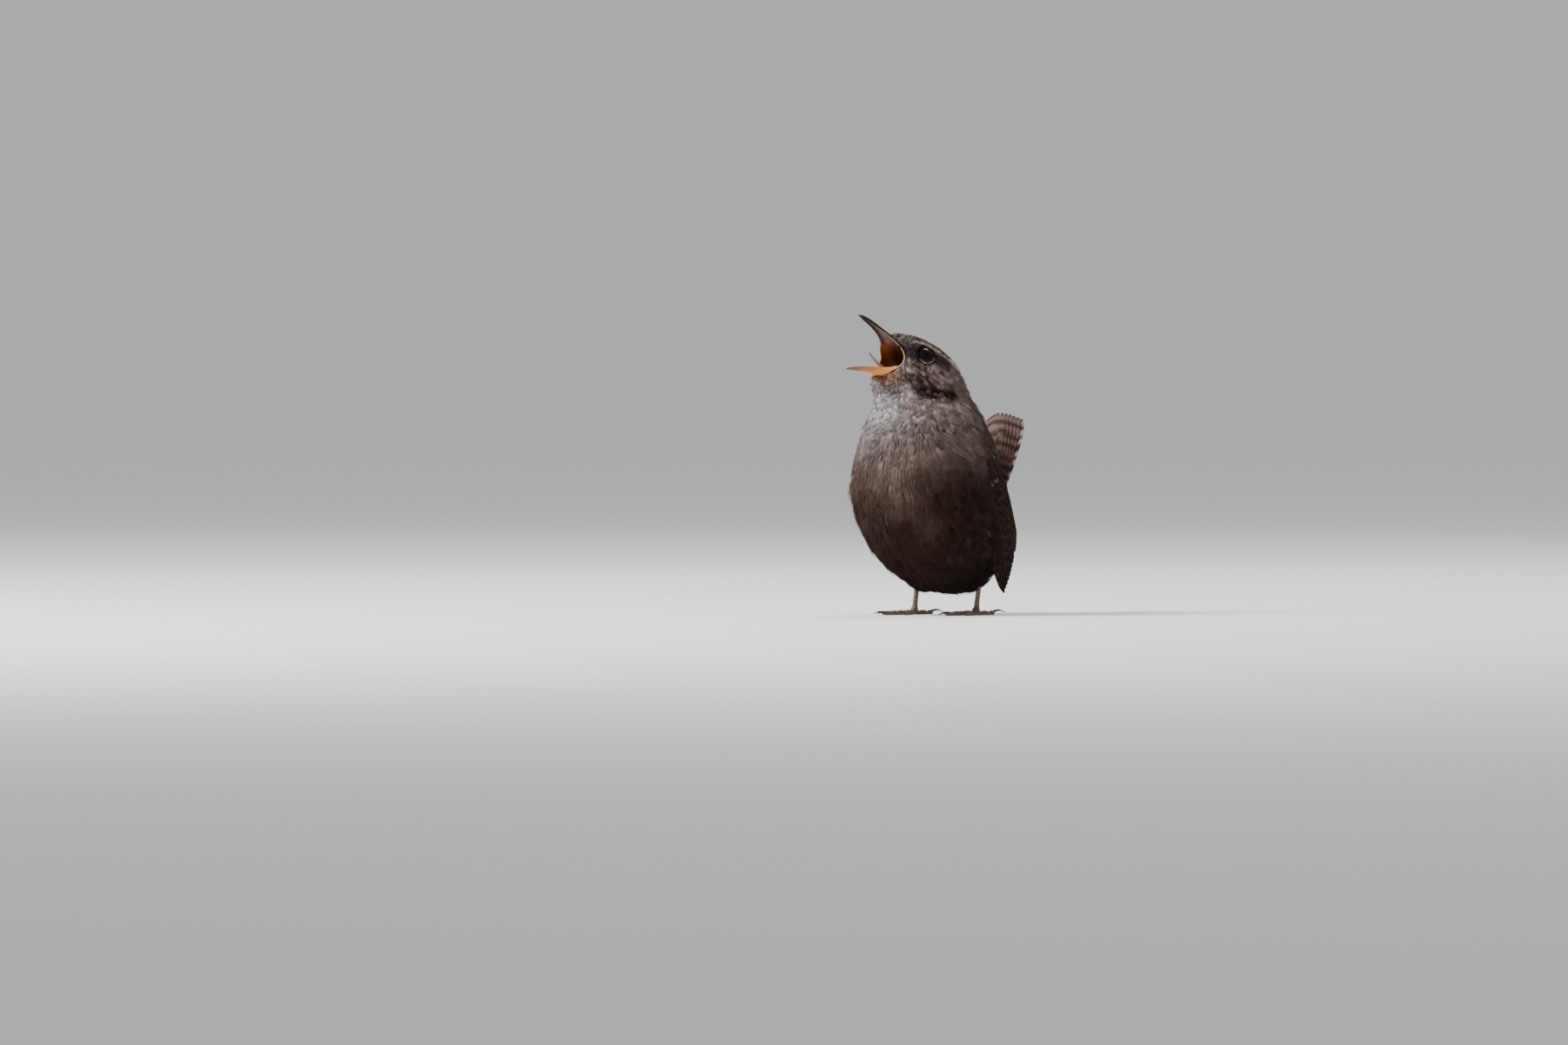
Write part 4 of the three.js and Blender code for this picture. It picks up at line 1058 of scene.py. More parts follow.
class Plumes:
    """Collects feathers on one sheet and makes one mesh of them."""

    def __init__(self, sheet, seed):
        self.sheet, self.draw = sheet, np.random.default_rng(seed)
        self.points, self.faces, self.colours, self.maps = [], [], [], []
        self.total = 0

    def put(self, points, faces, colours, maps):
        self.points.append(points.reshape(-1, 3))
        self.faces.append(faces + self.total)
        self.colours.append(colours.reshape(-1, 3))
        self.maps.append(maps.reshape(-1, 2))
        self.total += len(self.points[-1])

    def feather(self, root, tip, wide, level, tone, shape=FLIGHT_SHAPE, bow=0.0, end_level=None, fray=0.28):
        draw = self.draw
        root, tip = np.array(root, float), np.array(tip, float)
        long = np.linalg.norm(tip - root)
        ahead = (tip - root) / long
        side = np.array([-ahead[1], ahead[0]])
        end_level = level if end_level is None else end_level
        tilt = draw.uniform(-0.05, 0.05)
        cell = np.array([draw.uniform(0.02, 0.9), draw.uniform(0.02, 0.9)])
        brightness = draw.uniform(0.88, 1.12)

        def at(t, j, rise, over=0.0):
            off = j * table(t, shape) * wide / 2 + np.sign(j) * over + bow * np.sin(np.pi * np.clip(t, 0, 1))
            flat = root + outer(t * long, ahead) + outer(off, side)
            height = level + (end_level - level) * t + CROWNED * (1 - np.abs(j)) + tilt * j + rise
            return self.sheet(flat[..., 0], flat[..., 1], height)

        def on_map(t, j):
            return cell + np.stack([j, t], -1) * FEATHER_PATCH

        rows = max(7, round(long / ROW_GAP))
        t, j = np.meshgrid(np.linspace(0, 1, rows), COLUMNS, indexing="ij")
        rise = THIN / 2 + SHAFT * (j == 0) * (1 - 0.6 * t)
        shades = tone(t.ravel() * long, t.ravel(), j.ravel()) * brightness
        shades = np.where((j.ravel() == 0)[:, None], shades * SHAFT_TONE, shades)
        self.put(np.stack([at(t, j, rise), at(t, j, -rise)]), plate_faces(rows, len(COLUMNS)),
                 np.stack([shades, shades]), np.stack([on_map(t, j)] * 2))

        many = max(6, int(long / BARB_GAP))
        for way in (-1, 1):
            start = np.linspace(0.03, 0.985, many) + draw.normal(0, 0.004, many)
            stop = start + table(start, shape) * wide / 2 * 1.15 / long
            stop = np.minimum(stop, 1 + 0.02 * draw.random(many))
            over = draw.uniform(-0.15, fray, many)
            over = over + (draw.random(many) < 0.07) * draw.uniform(0, fray, many)
            mid = (start + stop) / 2 - 0.004
            thick = draw.uniform(0.075, 0.11, many)
            step = BARB_STEP / long
            corners = [  # along the feather, across it, rise and how far past its edge
                (start, 0.02, 0, 0), (mid - step, 0.5, 0, 0), (mid + step, 0.5, 0, 0),
                (mid, 0.5, thick, 0), (mid, 0.5, -thick, 0), (stop, 1.0, 0, over)]
            lines = [(t, np.full(many, j * way), rise, past) for t, j, rise, past in corners]
            tones = np.stack([tone(t * long, t, j) for t, j, _, _ in lines], 1)
            shade = (brightness * draw.uniform(0.84, 1.18, many))[:, None, None]
            self.put(np.stack([at(*line) for line in lines], 1), copies(BARB_FACES, many, len(corners)),
                     tones * shade, on_map(mid, np.full(many, 0.5 * way))[:, None] + BARB_PATCH)

    def mesh(self, title):
        item = mesh_of(title, np.concatenate(self.points), np.concatenate(self.faces))
        add_colours(item, np.concatenate(self.colours))
        add_map(item, np.concatenate(self.maps))
        right_way_out(item)
        return item


print("barbs on a feather of 30 mm:", 2 * int(30 / BARB_GAP))

# %% [markdown]
# ## Wings
# The folded wing shows its feathers in tiers: primaries and secondaries below, the three tertials over them, and
# rows of coverts that get smaller towards the wrist. In the photograph the wing is nearly black-brown with rusty
# bars along the outer edge and a few whitish specks where the median coverts end.

# %% Wing colours and tiers
FLIGHT = paint(18, 13, 11)
RUSTY = paint(60, 34, 23)
COVERT = paint(44, 30, 23)
COVERT_DARK = paint(20, 14, 11)
WING_BAR_GAP = 2.7
COVERT_BAR_GAP = 2.4
TIERS = {  # number of feathers, level, then root, tip, width and bow of the first and of the last
    "primaries": (9, 0.1, (9, -1.2), (45.6, -1), 3.4, -1.4, (11, 5), (38.5, 4.4), 4.2, -0.6),
    "secondaries": (6, 0.9, (11, 5.5), (37.4, 6), 4.4, 0.2, (11, 9), (33.5, 9.2), 4.8, 0.8),
    "tertials": (3, 1.4, (10, 9.2), (30.5, 10), 5.2, 0.9, (10, 11.5), (23, 12.6), 5.4, 1),
    "primary coverts": (6, 0.8, (7, -2.4), (20.5, -2), 2.6, -0.4, (7, 0.8), (18.5, 1.4), 2.8, -0.2),
    "greater coverts": (9, 1.45, (6, 1.2), (16.8, 1.6), 3.2, 0, (7.5, 11.6), (15.2, 12.4), 3.4, 0),
    "median coverts": (9, 1.8, (2.5, -0.6), (11.6, -0.4), 3, 0, (4, 10.6), (10.8, 11.4), 3.2, 0),
    "lesser coverts": (9, 2.05, (0, -0.8), (7.4, -1), 2.6, 0, (0.5, 9.8), (6.8, 10.4), 2.8, 0),
    "least coverts": (8, 2.2, (-2, -0.4), (4.2, -0.8), 2.4, 0, (-2, 8.2), (4, 8.8), 2.6, 0),
}
ROOT_SINK = {"median coverts": 0.8, "lesser coverts": 1.8, "least coverts": 3.2}
TIER_RISE = 0.7


def wave(share):
    return np.sin(2 * np.pi * share)


def flight_tone(phase):
    def tone(along, t, j):
        bar = ramp(wave(along / WING_BAR_GAP + phase + 0.12 * np.abs(j)), -0.1, 0.5)
        outer_vane = 1 - ramp(j, -0.35, 0.1)
        return mixed(FLIGHT, RUSTY, bar * (0.1 + 0.75 * outer_vane) * ramp(t, 0.1, 0.3))
    return tone


def covert_tone(phase, speck):
    def tone(along, t, j):
        colour = mixed(COVERT, COVERT_DARK, ramp(wave(along / COVERT_BAR_GAP + phase), 0.1, 0.7) * 0.6)
        colour = mixed(colour, COVERT_DARK, band(t, (0.7, 0.86), (0.92, 0.97)) * 0.7)
        return mixed(colour, WISP, ramp(t, 0.92, 0.97) * (1 - ramp(np.abs(j), 0.2, 0.7)) * speck * 0.7)
    return tone


def wing(side, title, seed):
    plumes = Plumes(wing_sheet(side), seed)
    draw = np.random.default_rng(seed + 1)
    for tier, (many, level, *ends) in TIERS.items():
        first, last = (np.array([*e[0], *e[1], e[2], e[3]]) for e in (ends[:4], ends[4:]))
        covert = tier.endswith("coverts")
        for i in range(many):
            values = first + (last - first) * i / (many - 1)
            values[:4] += draw.normal(0, 0.28 if covert else 0.05, 4)
            speck = float(tier in ("median coverts", "greater coverts") and draw.random() < 0.4) * 0.8
            tone = covert_tone(draw.random(), speck) if covert else flight_tone(draw.random())
            height = level + i * (TIER_RISE / many)
            plumes.feather(
                values[:2], values[2:4], values[4], height - ROOT_SINK.get(tier, 0), tone,
                COVERT_SHAPE if covert else FLIGHT_SHAPE, values[5], height, 0.4 if covert else 0.18)
    return plumes.mesh(title)


# %% Both wings, each with the feathered arm under its coverts
ARM_ROWS = (14, 12)
ARM_FROM = (0.5, -2.6)
ARM_SIZE = (25, 14.6)
ARM_LEVELS = (0.9, -1.6)
for name, side in SIDES.items():
    keep(wing(side, f"wing_feathers_{name}", 60 + side), plumage, "wing", f"wing_{name}")
    t, j = np.meshgrid(*(np.linspace(0, 1, many) for many in ARM_ROWS), indexing="ij")
    swell = np.sin(np.pi * np.clip(t * 1.2 + 0.12, 0, 1)) ** 0.6
    across = (ARM_FROM[1] + j * ARM_SIZE[1]) * (0.6 + 0.4 * swell)
    fall = np.sin(np.pi * (j * 12 + 0.6) / 13.2)
    layers = [wing_sheet(side)(ARM_FROM[0] + t * ARM_SIZE[0], across, level * (0.4 + 0.6 * swell * fall))
              for level in ARM_LEVELS]
    arm = mesh_of(f"wing_arm_{name}", np.reshape(layers, (-1, 3)), plate_faces(*ARM_ROWS))
    add_colours(arm, COVERT_DARK)
    right_way_out(arm)
    keep(arm, plumage, "wing")

# %% [markdown]
# ## Tail
# The tail stands almost upright over the back, as a singing wren holds it. Twelve feathers overlap, the middle pair
# on top of the side that faces the back, and about nine dark wavy bars cross them all. The outermost feathers have
# black and whitish blocks along their edge. Short coverts close both sides of the root.

# %% Tail feathers and coverts
TAIL = paint(104, 76, 64)
TAIL_GREY = paint(122, 102, 96)
TAIL_BAR = paint(28, 19, 17)
TAIL_EDGE = paint(186, 172, 162)
TAIL_EDGE_DARK = paint(24, 18, 17)
TAIL_COVERT = paint(104, 74, 58)
TAIL_PAIRS = 6
TAIL_FAN = math.radians(1.85)
TAIL_SWING = math.radians(-1.2)
TAIL_ROUNDING = 0.1
TAIL_VANE_WIDE = 4.3
TAIL_STEP = 0.24
TAIL_BAR_GAP = 2.7
TAIL_COVERT_GAP = 2.8
COVERT_ROWS = ((1, 2.0, 5), (-1, -3.6, 6))  # side of the tail, how far the rows stand off it, number of rows


def tail_tone(phase, outermost, side):
    def tone(along, t, j):
        bars = wave((along + 0.5 * np.abs(j)) / TAIL_BAR_GAP + phase)
        bends = 0.5 * np.sin(along * 1.7 + j * 3 + 9 * phase)
        bar = ramp(bars + bends, -0.35, 0.4) * 0.88 * ramp(t, 0.05, 0.2)
        colour = mixed(TAIL, TAIL_GREY, ramp(t, 0.45, 0.95) * 0.65)
        if not outermost:
            return mixed(colour, TAIL_BAR, bar)
        edge = ramp(j * side, 0.5, 0.75)
        block = ramp(np.sin(2 * np.pi * along / TAIL_BAR_GAP + 1), -0.45, -0.1)
        bar = bar * (1 - edge) + block * edge * 0.95
        return mixed(mixed(colour, TAIL_EDGE, edge), mixed(TAIL_BAR, TAIL_EDGE_DARK, edge), bar)
    return tone


def tail_covert_tone(phase, tip):
    def tone(along, t, j):
        bar = ramp(wave(along / TAIL_COVERT_GAP + phase), 0, 0.6) * 0.7 * ramp(t, 0.15, 0.4)
        return mixed(mixed(TAIL_COVERT, COVERT_DARK, bar), WISP, ramp(t, 0.86, 0.97) * tip)
    return tone


plumes = Plumes(tail_sheet, 80)
for pair in range(TAIL_PAIRS - 1, -1, -1):
    for side in SIDES.values():
        turn = side * (pair + 0.5) * TAIL_FAN + TAIL_SWING
        reach = TAIL_LONG - TAIL_ROUNDING * pair**1.25
        begin = side * (0.3 + pair * 0.12)
        tip = (reach * math.cos(turn), begin + reach * math.sin(turn))
        level = -pair * TAIL_STEP - (0.12 if side < 0 else 0)
        tone = tail_tone(0.06 * pair, pair == TAIL_PAIRS - 1, side)
        plumes.feather((1, begin), tip, TAIL_VANE_WIDE, level, tone, fray=0.3)
draw = np.random.default_rng(81)
for facing, bulge, rows in COVERT_ROWS:
    for row in range(rows):
        many = 7 - row // 2
        for i in range(many):
            across = (i / (many - 1) - 0.5) * (6.8 - 0.7 * row) + draw.normal(0, 0.12)
            stop = 15.5 - 2.3 * row + draw.normal(0, 0.5)
            level = bulge * (0.7 + 0.1 * row) * (1 - 0.06 * across**2)
            end_level = (0.32 + 0.03 * row) * level + 0.5 if facing > 0 else 0.25 * level - 0.9
            plumes.feather(
                (1.1 * row - 3, across * 0.8), (stop, across + draw.normal(0, 0.15)), 2.8, level,
                tail_covert_tone(draw.random(), 0.35 if facing < 0 else 0.1), COVERT_SHAPE, 0.0, end_level, 0.5)
keep(plumes.mesh("tail_feathers"), plumage, "tail", "tail")

# %% [markdown]
# ## Feathers over the joins
# Where the wing meets the shoulder, soft scapular feathers lie over the coverts, and round the root of the tail the
# rump and vent feathers rise in a loose sleeve. They are tufts like the rest of the coat, but their middles and tips
# follow the wing's and the tail's sheets.

# %% Scapulars and the tail's sleeve
SCAPULARS = 1100
SLEEVE = 1300
SLEEVE_WIDE = 4.6
SLEEVE_FRONT = 2.6
SLEEVE_REAR = 4.4
JOIN_TUFT = {"wide": 0.2, "spread": 0.6, "lift": 0.15}


def grown_on(root, middle, end, out, tone):
    """Tufts with chosen middles and tips, as blades() takes them."""
    maps = triangle_maps[nearest(root)[2]].mean(1)
    growth = {"root": root, "middle": middle, "end": end, "tone": tone, "map": maps}
    growth.update({key: np.full(len(root), value) for key, value in JOIN_TUFT.items()})
    lies = {"root": middle - root, "middle": end - root, "end": end - middle}
    for at, direction in lies.items():
        growth[at + "_lie"] = unit(direction)
        growth[at + "_out"] = along_surface(out, unit(direction))
    return growth


for name, side in SIDES.items():
    draw = np.random.default_rng(90 + side)
    sheet = wing_sheet(side)
    along, across = draw.uniform(-4, 6, SCAPULARS), draw.uniform(0.5, 13.5, SCAPULARS)
    length = draw.uniform(3.4, 5.4, SCAPULARS)
    level = 2.3 + draw.uniform(0, 0.5, SCAPULARS)
    drift = draw.normal(0, 0.35, SCAPULARS)
    root = sheet(along, across, level - 1.1)
    middle = sheet(along + length / 2, across + drift / 2, level)
    end = sheet(along + length, across + drift, level - 0.1)
    out = unit(sheet(along, across, 3.0) - sheet(along, across, 0.0))
    tone = 0.45 * markings(root) + 0.55 * MANTLE * (0.6 + 0.8 * ramp(across, 1, 8))[:, None]
    tone = tone * draw.uniform(0.85, 1.15, (SCAPULARS, 1))
    keep(blades(f"scapulars_{name}", grown_on(root, middle, end, out, tone), 95), plumage, "plumage")

draw = np.random.default_rng(97)
bearing = draw.uniform(0, 2 * np.pi, SLEEVE)
height = draw.uniform(-4.5, 2.5, SLEEVE)
length = draw.uniform(4.5, 7, SLEEVE)


def sleeve(height, shrink):
    deep = np.where(np.cos(bearing) > 0, SLEEVE_FRONT, SLEEVE_REAR) * np.cos(bearing)
    return tail_sheet(height, SLEEVE_WIDE * shrink * np.sin(bearing), shrink * deep)


half_way = height + length * 0.5
root = nearest(sleeve(height - 2.5, 0.85 - 0.03 * height))[0]
middle = sleeve(half_way, 1.0 - 0.035 * height)
end = sleeve(height + length, 0.66 - 0.045 * height)
out = unit(middle - sleeve(half_way, 0.01))
tone = (0.5 * RUMP + 0.5 * TAIL_COVERT) * draw.uniform(0.6, 1.2, (SLEEVE, 1))
keep(blades("tail_sleeve", grown_on(root, middle, end, out, tone), 98), plumage, "plumage")

# %% [markdown]
# ## Bill and tongue
# The bill is a thin horny sheath: dark horn with a painted bluish highlight towards the ridge, pale cutting edges, and
# orange-brown flesh on the inner side that fades to horn near the tip. The lower half is pale orange at its root and
# straw-coloured at its tip. Each half starts from a copy of its solid, is remeshed finely and smoothed, and is painted
# by how far a point lies along the bill and between its edge and its ridge.

# %% Bill helpers
# a light bluish grey: a painted highlight along the upper bill's ridge, and the grey of the lower bill's tip
HORN_GREY_AND_SHEEN = paint(66, 66, 76)
HORN_DARK = paint(34, 28, 26)
PALATE = paint(66, 34, 13)
PALATE_TIP = paint(30, 21, 16)
BILL_EDGE = paint(160, 138, 112)
LOWER_ROOT = paint(222, 150, 72)
LOWER_MIDDLE = paint(186, 116, 78)
LOWER_TIP = paint(128, 96, 76)
SLIT_SHADE = paint(60, 40, 26)
BILL_VOXEL = 0.065
RIM_BINS = 30


def bezier(path, t):
    a, b, c, d = np.array(path, float)
    t = t[:, None]
    return a * (1 - t) ** 3 + 3 * b * t * (1 - t) ** 2 + 3 * c * t**2 * (1 - t) + d * t**3


def in_bill(points, ridge, edge):
    """Share along the bill, share from its edge to its ridge, and how near its side edge each point is."""
    x, y, z = on_face(points)
    steps = np.linspace(0, 1, 81)
    low = bezier(edge, steps)
    rise = bezier(ridge, steps) - low
    flat = np.stack([x, z], -1)[:, None]
    r = ((flat - low) * rise).sum(-1) / (rise * rise).sum(-1)
    off = np.linalg.norm(flat - low - np.clip(r, -0.3, 1.3)[..., None] * rise, axis=-1)
    best = off.argmin(1)
    t = steps[best]
    widest = np.zeros(RIM_BINS)
    np.maximum.at(widest, np.minimum((t * RIM_BINS).astype(int), RIM_BINS - 1), np.abs(y))
    widest = np.interp(t * RIM_BINS - 0.5, np.arange(RIM_BINS), widest)
    return t, r[np.arange(len(points)), best], np.abs(y) / np.maximum(widest, 0.05), y


def refined(node, title, voxel, rounds):
    item = copied([node], title)
    modify(item, "REMESH", mode="VOXEL", voxel_size=voxel * MM)
    modify(item, "SMOOTH", factor=0.5, iterations=rounds)
    return item


# %% Both halves of the bill
upper = refined("bill_upper", "upper_bill", BILL_VOXEL, 9)
t, r, beside, _ = in_bill(points_of(upper), CULMEN, UPPER_EDGE)
inside = ramp(normals_of(upper) @ head_way(1, 0, -1.7), 0.1, 0.4)
# painted highlight: the upper bill turns light bluish grey towards its ridge
tone = mixed(HORN_DARK, HORN_GREY_AND_SHEEN, ramp(r, 0.5, 0.95) * 0.8)
tone = mixed(tone, PALATE_TIP, inside)
tone = mixed(tone, PALATE, inside * (1 - ramp(t, 0.3, 0.8)))
edge = ramp(beside, 0.88, 0.97) * (1 - ramp(np.abs(r), 0.06, 0.14))
tone = mixed(tone, BILL_EDGE, edge * ramp(t, 0.02, 0.2) * 0.6)
add_colours(upper, mixed(tone, BILL_EDGE, ramp(t, 0.93, 1) * 0.3))
keep(upper, horn, "upper_bill", "bill_upper")

lower = refined("bill_lower", "lower_bill", BILL_VOXEL, 9)
t, r, beside, y = in_bill(points_of(lower), KEEL, LOWER_EDGE)
inside = ramp(normals_of(lower) @ head_way(0, 0, 1), 0.3, 0.7)
tone = mixed(LOWER_ROOT, LOWER_MIDDLE, ramp(t, 0.22, 0.5))
tone = mixed(tone, LOWER_TIP, ramp(t, 0.55, 0.9))
# the lower bill's tip is grey horn
tone = mixed(tone, HORN_GREY_AND_SHEEN, ramp(t, 0.9, 1.02) * 0.6)
tone = mixed(tone, LOWER_ROOT * 0.9, inside * (1 - ramp(t, 0.3, 0.7)) * 0.8)
# painted shade: a dark streak along the middle of the lower bill's inner trough
tone = mixed(tone, SLIT_SHADE, inside * (1 - ramp(np.abs(y), 0.25, 0.6)) * band(t, (0.2, 0.35), (0.6, 0.75)))
edge = ramp(beside, 0.84, 0.96) * (1 - ramp(np.abs(r), 0.08, 0.2))
add_colours(lower, mixed(tone, BILL_EDGE, edge * ramp(t, 0.1, 0.3) * 0.5))
keep(lower, horn, "lower_bill", "bill_lower")

# %% Tongue
TONGUE_PINK = paint(176, 128, 108)
TONGUE_TIP = paint(150, 140, 132)
TONGUE_NARROW = 0.5
TONGUE_DROP = 0.9
tongue = refined("tongue", "tongue_blade", 0.08, 4)
x, y, z = on_face(points_of(tongue))
set_points(tongue, on_head(x, y * TONGUE_NARROW, z - TONGUE_DROP * ramp(-x, -10.4, -8.2)))
add_colours(tongue, mixed(TONGUE_PINK, TONGUE_TIP, ramp(z, -3, -1)))
keep(tongue, wet_flesh, "tongue", "tongue")

# %% [markdown]
# ## Gape rims
# At the corner of the mouth the skin forms a soft pale flange that joins the two halves of the bill. It is a slender
# roll that follows the mouth's rim, thickest at the corner and fading along both jaws.

# %% Gape rims
GAPE_FLANGE = paint(196, 156, 92)
FLANGE_FROM = 0.27
FLANGE_TO = 0.86


def roll(path, radii, title, sides=12):
    """A closed round rod of changing thickness along a path."""
    ahead = unit(np.gradient(path, axis=0))
    across = unit(np.cross(ahead, (0.13, 0.21, 0.97)))
    over = np.cross(across, ahead)
    spin = np.linspace(0, 2 * np.pi, sides, endpoint=False)[:, None]
    item = tube(path[:, None] + radii[:, None, None] * (
        np.cos(spin) * across[:, None] + np.sin(spin) * over[:, None]), title)
    right_way_out(item)
    return item


share = np.linspace(0, 1, 40)
where = (FLANGE_FROM + share * (FLANGE_TO - FLANGE_FROM)) * (len(rim_left) - 1)
forward, left, up = (np.interp(where, np.arange(len(rim_left)), column) for column in rim_left.T)
thick = 0.06 + 0.11 * np.sin(np.pi * share) ** 1.2
for name, side in SIDES.items():
    gape = roll(on_head(forward + 0.12, side * (left - 0.02), up), thick, f"gape_rim_{name}")
    add_colours(gape, GAPE_FLANGE)
    keep(gape, wet_flesh, "tongue")

# %% [markdown]
# ## Eyes and lids
# A wren's eye is nearly black, with a thin dark brown iris round the pupil, and sits in a ring of bare lid whose
# lower edge is pale. The eyeball is a sphere on the solid's own centre, flattened behind so that it stays clear of
# the mouth, and each lid ring is a torus that is turned to face along the eye's axis.

# %% Eyes
PUPIL = paint(10, 8, 8)
IRIS = paint(24, 15, 11)
LID_DARK = paint(14, 11, 10)
LID_PALE = paint(176, 168, 158)
BALL_RADIUS = 2.92
BALL_FLATTENED = 0.7
LID_RING = 2.24
LID_ROLL = 0.18
LID_OUTWARDS = 0.05
for name, side in SIDES.items():
    axis = lid_axis(side)
    bpy.ops.mesh.primitive_uv_sphere_add(segments=64, ring_count=40, radius=BALL_RADIUS * MM)
    ball = named(f"eyeball_{name}")
    local = points_of(ball) + SHIFT
    centre = lid_middle(side) - EYE_DEPTH * axis
    set_points(ball, local + centre - outer(BALL_FLATTENED * np.minimum(local @ axis, 0), axis))
    off_axis = np.degrees(np.arccos(np.clip(unit(local) @ axis, -1, 1)))
    add_colours(ball, mixed(mixed(PUPIL, IRIS, ramp(off_axis, 27, 32)), PUPIL, ramp(off_axis, 36, 46)))
    keep(ball, eye_gloss, "eye", f"eye_{name}")

    bpy.ops.mesh.primitive_torus_add(
        major_segments=96, minor_segments=16, major_radius=LID_RING * MM, minor_radius=LID_ROLL * MM)
    lid = named(f"eyelid_{name}")
    local = points_of(lid) + SHIFT
    bearing = np.arctan2(local[:, 1], local[:, 0])
    creased = 1 + 0.012 * (np.sin(bearing * 13 + 1) + np.sin(bearing * 29))
    up = along_surface(np.array([0, 0, 1.0]), axis)
    flat = outer(local[:, 0] * creased, np.cross(up, axis)) + outer(local[:, 1] * creased, up)
    set_points(lid, lid_middle(side) + LID_OUTWARDS * axis + flat + outer(local[:, 2] * 1.2, axis))
    inner = 1 - ramp(np.hypot(local[:, 0], local[:, 1]), LID_RING - 0.05, LID_RING + 0.2)
    broken = 0.3 + 0.7 * ramp(np.sin(bearing * 9) + np.sin(bearing * 23), -1, 0.6)
    low = ramp(-np.sin(bearing), 0.25, 0.6) * broken
    add_colours(lid, mixed(LID_DARK, LID_PALE, low * (0.95 - 0.6 * inner)))
    keep(lid, plumage, "leg")

# %% [markdown]
# ## Legs, toes and claws
# The bare shank is covered in front by a row of overlapping plates, and each toe has plates on top, soft pads below
# and a curved claw. The shank starts from its solid's copy. Toes are drawn as rods through their joints, joined by a
# voxel remesh so that they grow out of one foot, and the claws are separate, darker and sharper.

# %% Legs
LEG_TONE = paint(104, 84, 72)
LEG_PALE = paint(142, 120, 104)
PLATE_GAP = 1.05
FLAT = (1, 1, 0)
for name, side in SIDES.items():
    shank = refined(f"shank_{name}", f"shin_{name}", 0.075, 5)
    points = points_of(shank)
    points[:, 2] -= 0.9 * np.maximum(3.2 - points[:, 2], 0)
    points = points + outer(1.5 * np.maximum(points[:, 2] - 5.2, 0), (0, SHANK_SLOPE, 1))
    out = unit((points - shank_axis(points, name)) * FLAT)
    saw = (points[:, 2] / PLATE_GAP) % 1
    step = (0.075 * saw - 0.02) * ramp(-out[:, 1], -0.2, 0.5) * (1 - ramp(saw, 0.9, 1))
    set_points(shank, points + out * step[:, None])
    ahead = ramp(-out[:, 1], -0.2, 0.4)
    tone = mixed(LEG_TONE, LEG_PALE, ramp(saw, 0.3, 0.9) * ahead * 0.6)
    add_colours(shank, mixed(tone, LEG_TONE * 0.45, (1 - ramp(saw, 0, 0.16)) * ahead))
    keep(shank, leg_scales, "leg", f"shank_{name}")

# %% Feet and claws
CLAW_TONE = paint(66, 54, 48)
TOE_PLATE_GAP = 0.85
TOE_RADIUS = 0.56
TOES = [(0, 11, 3.4, 3), (-24, 8, 3, 2), (26, 8.8, 3, 4), (180, 6.6, 5.2, 1)]  # turn, length, claw, joints


def on_floor(item):
    """Lifts what lies under the floor on to it, and gives the points back."""
    points = points_of(item)
    points[:, 2] = np.maximum(points[:, 2], 0.0)
    set_points(item, points)
    return points


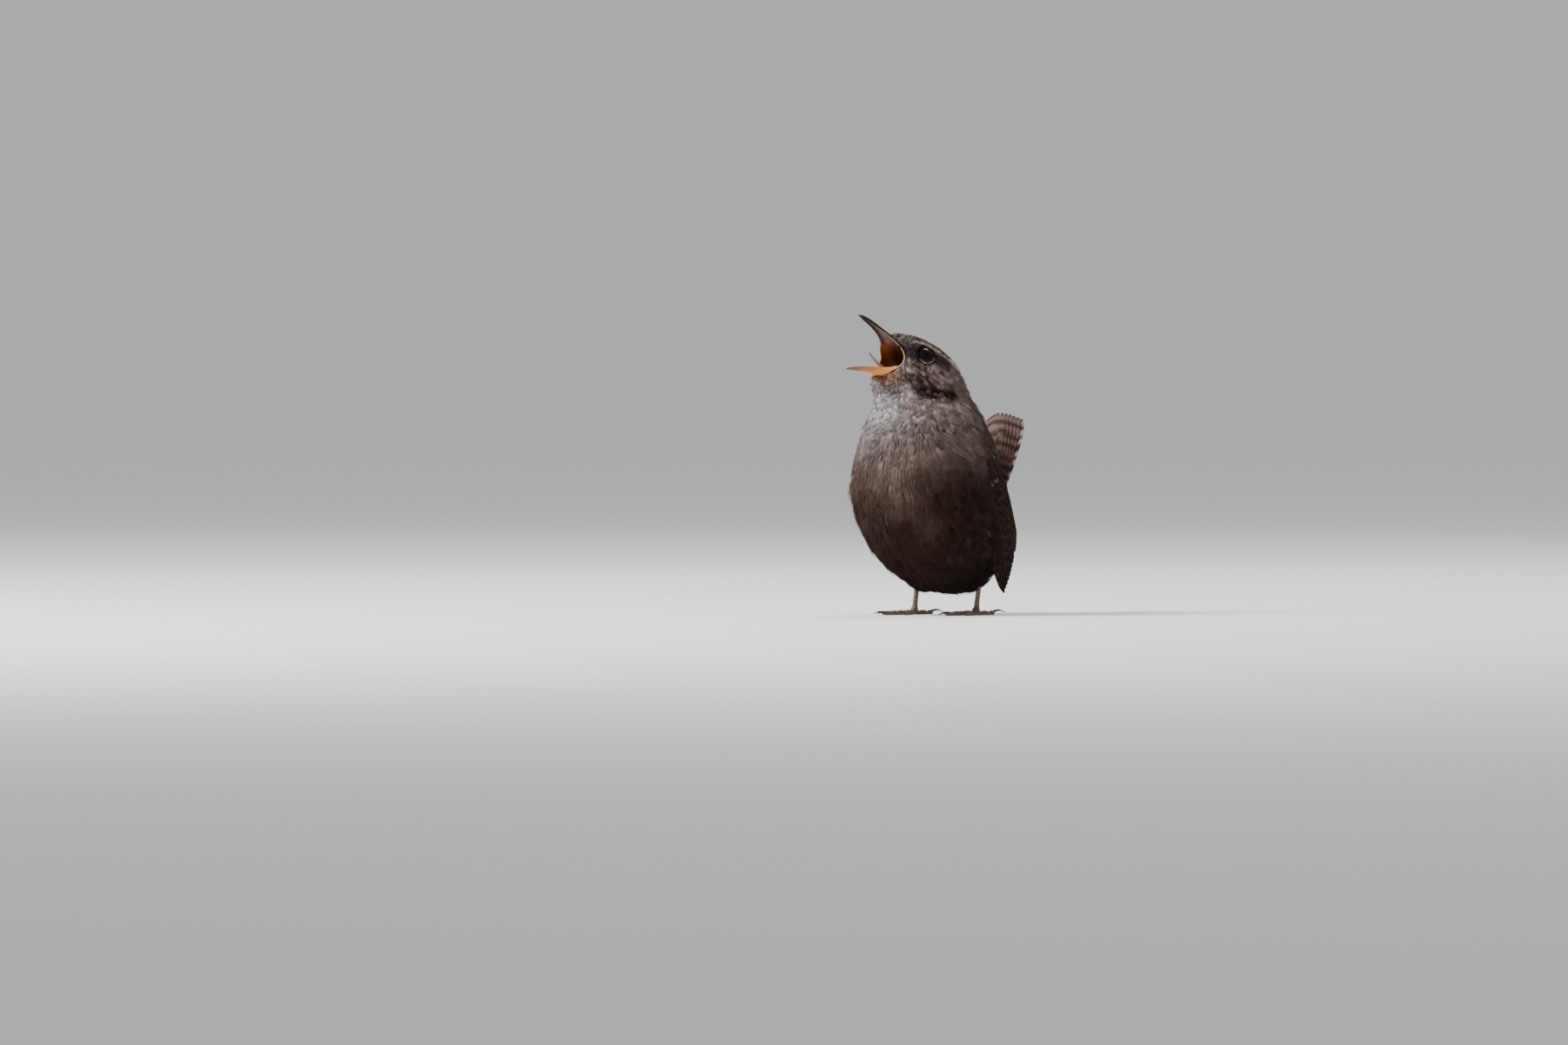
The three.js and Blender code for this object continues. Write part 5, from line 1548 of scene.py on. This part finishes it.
for name, side in SIDES.items():
    forward, out = FEET[name]
    hub = place(forward, side * out, 0)
    rods, nails = [], []
    for turn, long, claw, joints in TOES:
        heading = spun(place(1, 0, 0), math.radians(turn * side))
        steps = np.linspace(-0.02, 1, 60)
        pad = 1 + 0.11 * np.cos(2 * np.pi * steps * (joints + 1))
        radius = TOE_RADIUS * (1.12 - 0.3 * steps) * pad * np.where(steps > 0.96, 0.86, 1)
        up = np.maximum(radius * 0.96, 1.1 * (1 - steps * 4))
        rods.append(roll(hub + outer(steps * long, heading) + outer(up, (0, 0, 1)), radius, "toe", 20))
        steps = np.linspace(-0.15, 1, 30)
        arc = np.sin(np.pi * (0.12 + 0.76 * np.clip(steps, 0, 1)))
        up = 0.36 + 0.75 * arc * (claw / 4) - 0.42 * steps
        path = hub + outer(long - 0.5 + claw * steps, heading) + outer(up, (0, 0, 1))
        nails.append(roll(path, TOE_RADIUS * 0.66 * (1 - 0.93 * np.clip(steps, 0, 1) ** 1.2), "claw", 16))
    bpy.ops.mesh.primitive_uv_sphere_add(segments=32, ring_count=20, radius=1.0 * MM)
    ankle = bpy.context.object
    set_points(ankle, (points_of(ankle) + SHIFT) * (0.98, 1.12, 1.05) + hub + (0, 0, 1.1))
    foot = joined([ankle, *rods], f"foot_scaled_{name}")
    modify(foot, "REMESH", mode="VOXEL", voxel_size=0.1 * MM)
    modify(foot, "SMOOTH", factor=0.5, iterations=3)
    points = points_of(foot)
    normals = normals_of(foot)
    topside = ramp(normals[:, 2], 0, 0.5)
    saw = (np.linalg.norm((points - hub) * FLAT, axis=1) / TOE_PLATE_GAP) % 1
    set_points(foot, points + normals * ((0.06 * saw - 0.02) * topside)[:, None])
    on_floor(foot)
    tone = mixed(LEG_TONE, LEG_PALE, ramp(saw, 0.3, 0.9) * topside * 0.5)
    tone = mixed(tone, LEG_TONE * 0.5, (1 - ramp(saw, 0, 0.18)) * topside)
    add_colours(foot, mixed(tone, LEG_PALE, ramp(-normals_of(foot)[:, 2], 0.2, 0.7) * 0.6))
    keep(foot, leg_scales, "leg", f"foot_{name}")
    claws = joined(nails, f"claws_{name}")
    reach = np.linalg.norm((on_floor(claws) - hub) * FLAT, axis=1)
    add_colours(claws, CLAW_TONE * (1.15 - 0.4 * ramp(reach, 8, 14))[:, None])
    keep(claws, horn, "leg")

# %% [markdown]
# ## Floor and light
# A plain pale floor carries on to the horizon. One large soft lamp stands high on the left of the camera, as the
# daylight does in the photograph, and a weaker one behind rims the tail and the back.

# %% Floor and light
PALE = (0.78, 0.79, 0.8, 1)
FLOOR_TONE = (0.8, 0.8, 0.8, 1)
DAYLIGHT = 0.64
FLOOR_GLOW = 0.2
LAMPS_AT = Vector((0, 0, 0.04))
LAMPS = {"key": (-25, 40, 0.45, 15), "rim": (200, 55, 0.4, 4)}  # azimuth, elevation, size, power
LAMP_DISTANCE = 0.9
bpy.ops.mesh.primitive_circle_add(vertices=96, radius=40, fill_type="NGON")
floor = named("floor")
floor_look = {"Base Color": FLOOR_TONE, "Emission Color": PALE, "Emission Strength": FLOOR_GLOW * DAYLIGHT}
dress(floor, material("pale_floor", 1.0, 0.0, floor_look)[0])
for title, (azimuth, elevation, size, power) in LAMPS.items():
    out = Vector(way_to(math.radians(azimuth), math.radians(elevation)))
    bpy.ops.object.light_add(type="AREA", location=LAMPS_AT + out * LAMP_DISTANCE)
    lamp = bpy.context.object
    lamp.name = title
    lamp.data.shape = "DISK"
    lamp.data.size = size
    lamp.data.energy = power
    lamp.rotation_euler = out.to_track_quat("Z", "Y").to_euler()
world = bpy.data.worlds.new("studio")
bpy.context.scene.world = world
world.use_nodes = True
sky = world.node_tree.nodes["Background"].inputs
sky["Color"].default_value = PALE
sky["Strength"].default_value = DAYLIGHT
print("lamps:", ", ".join(LAMPS))
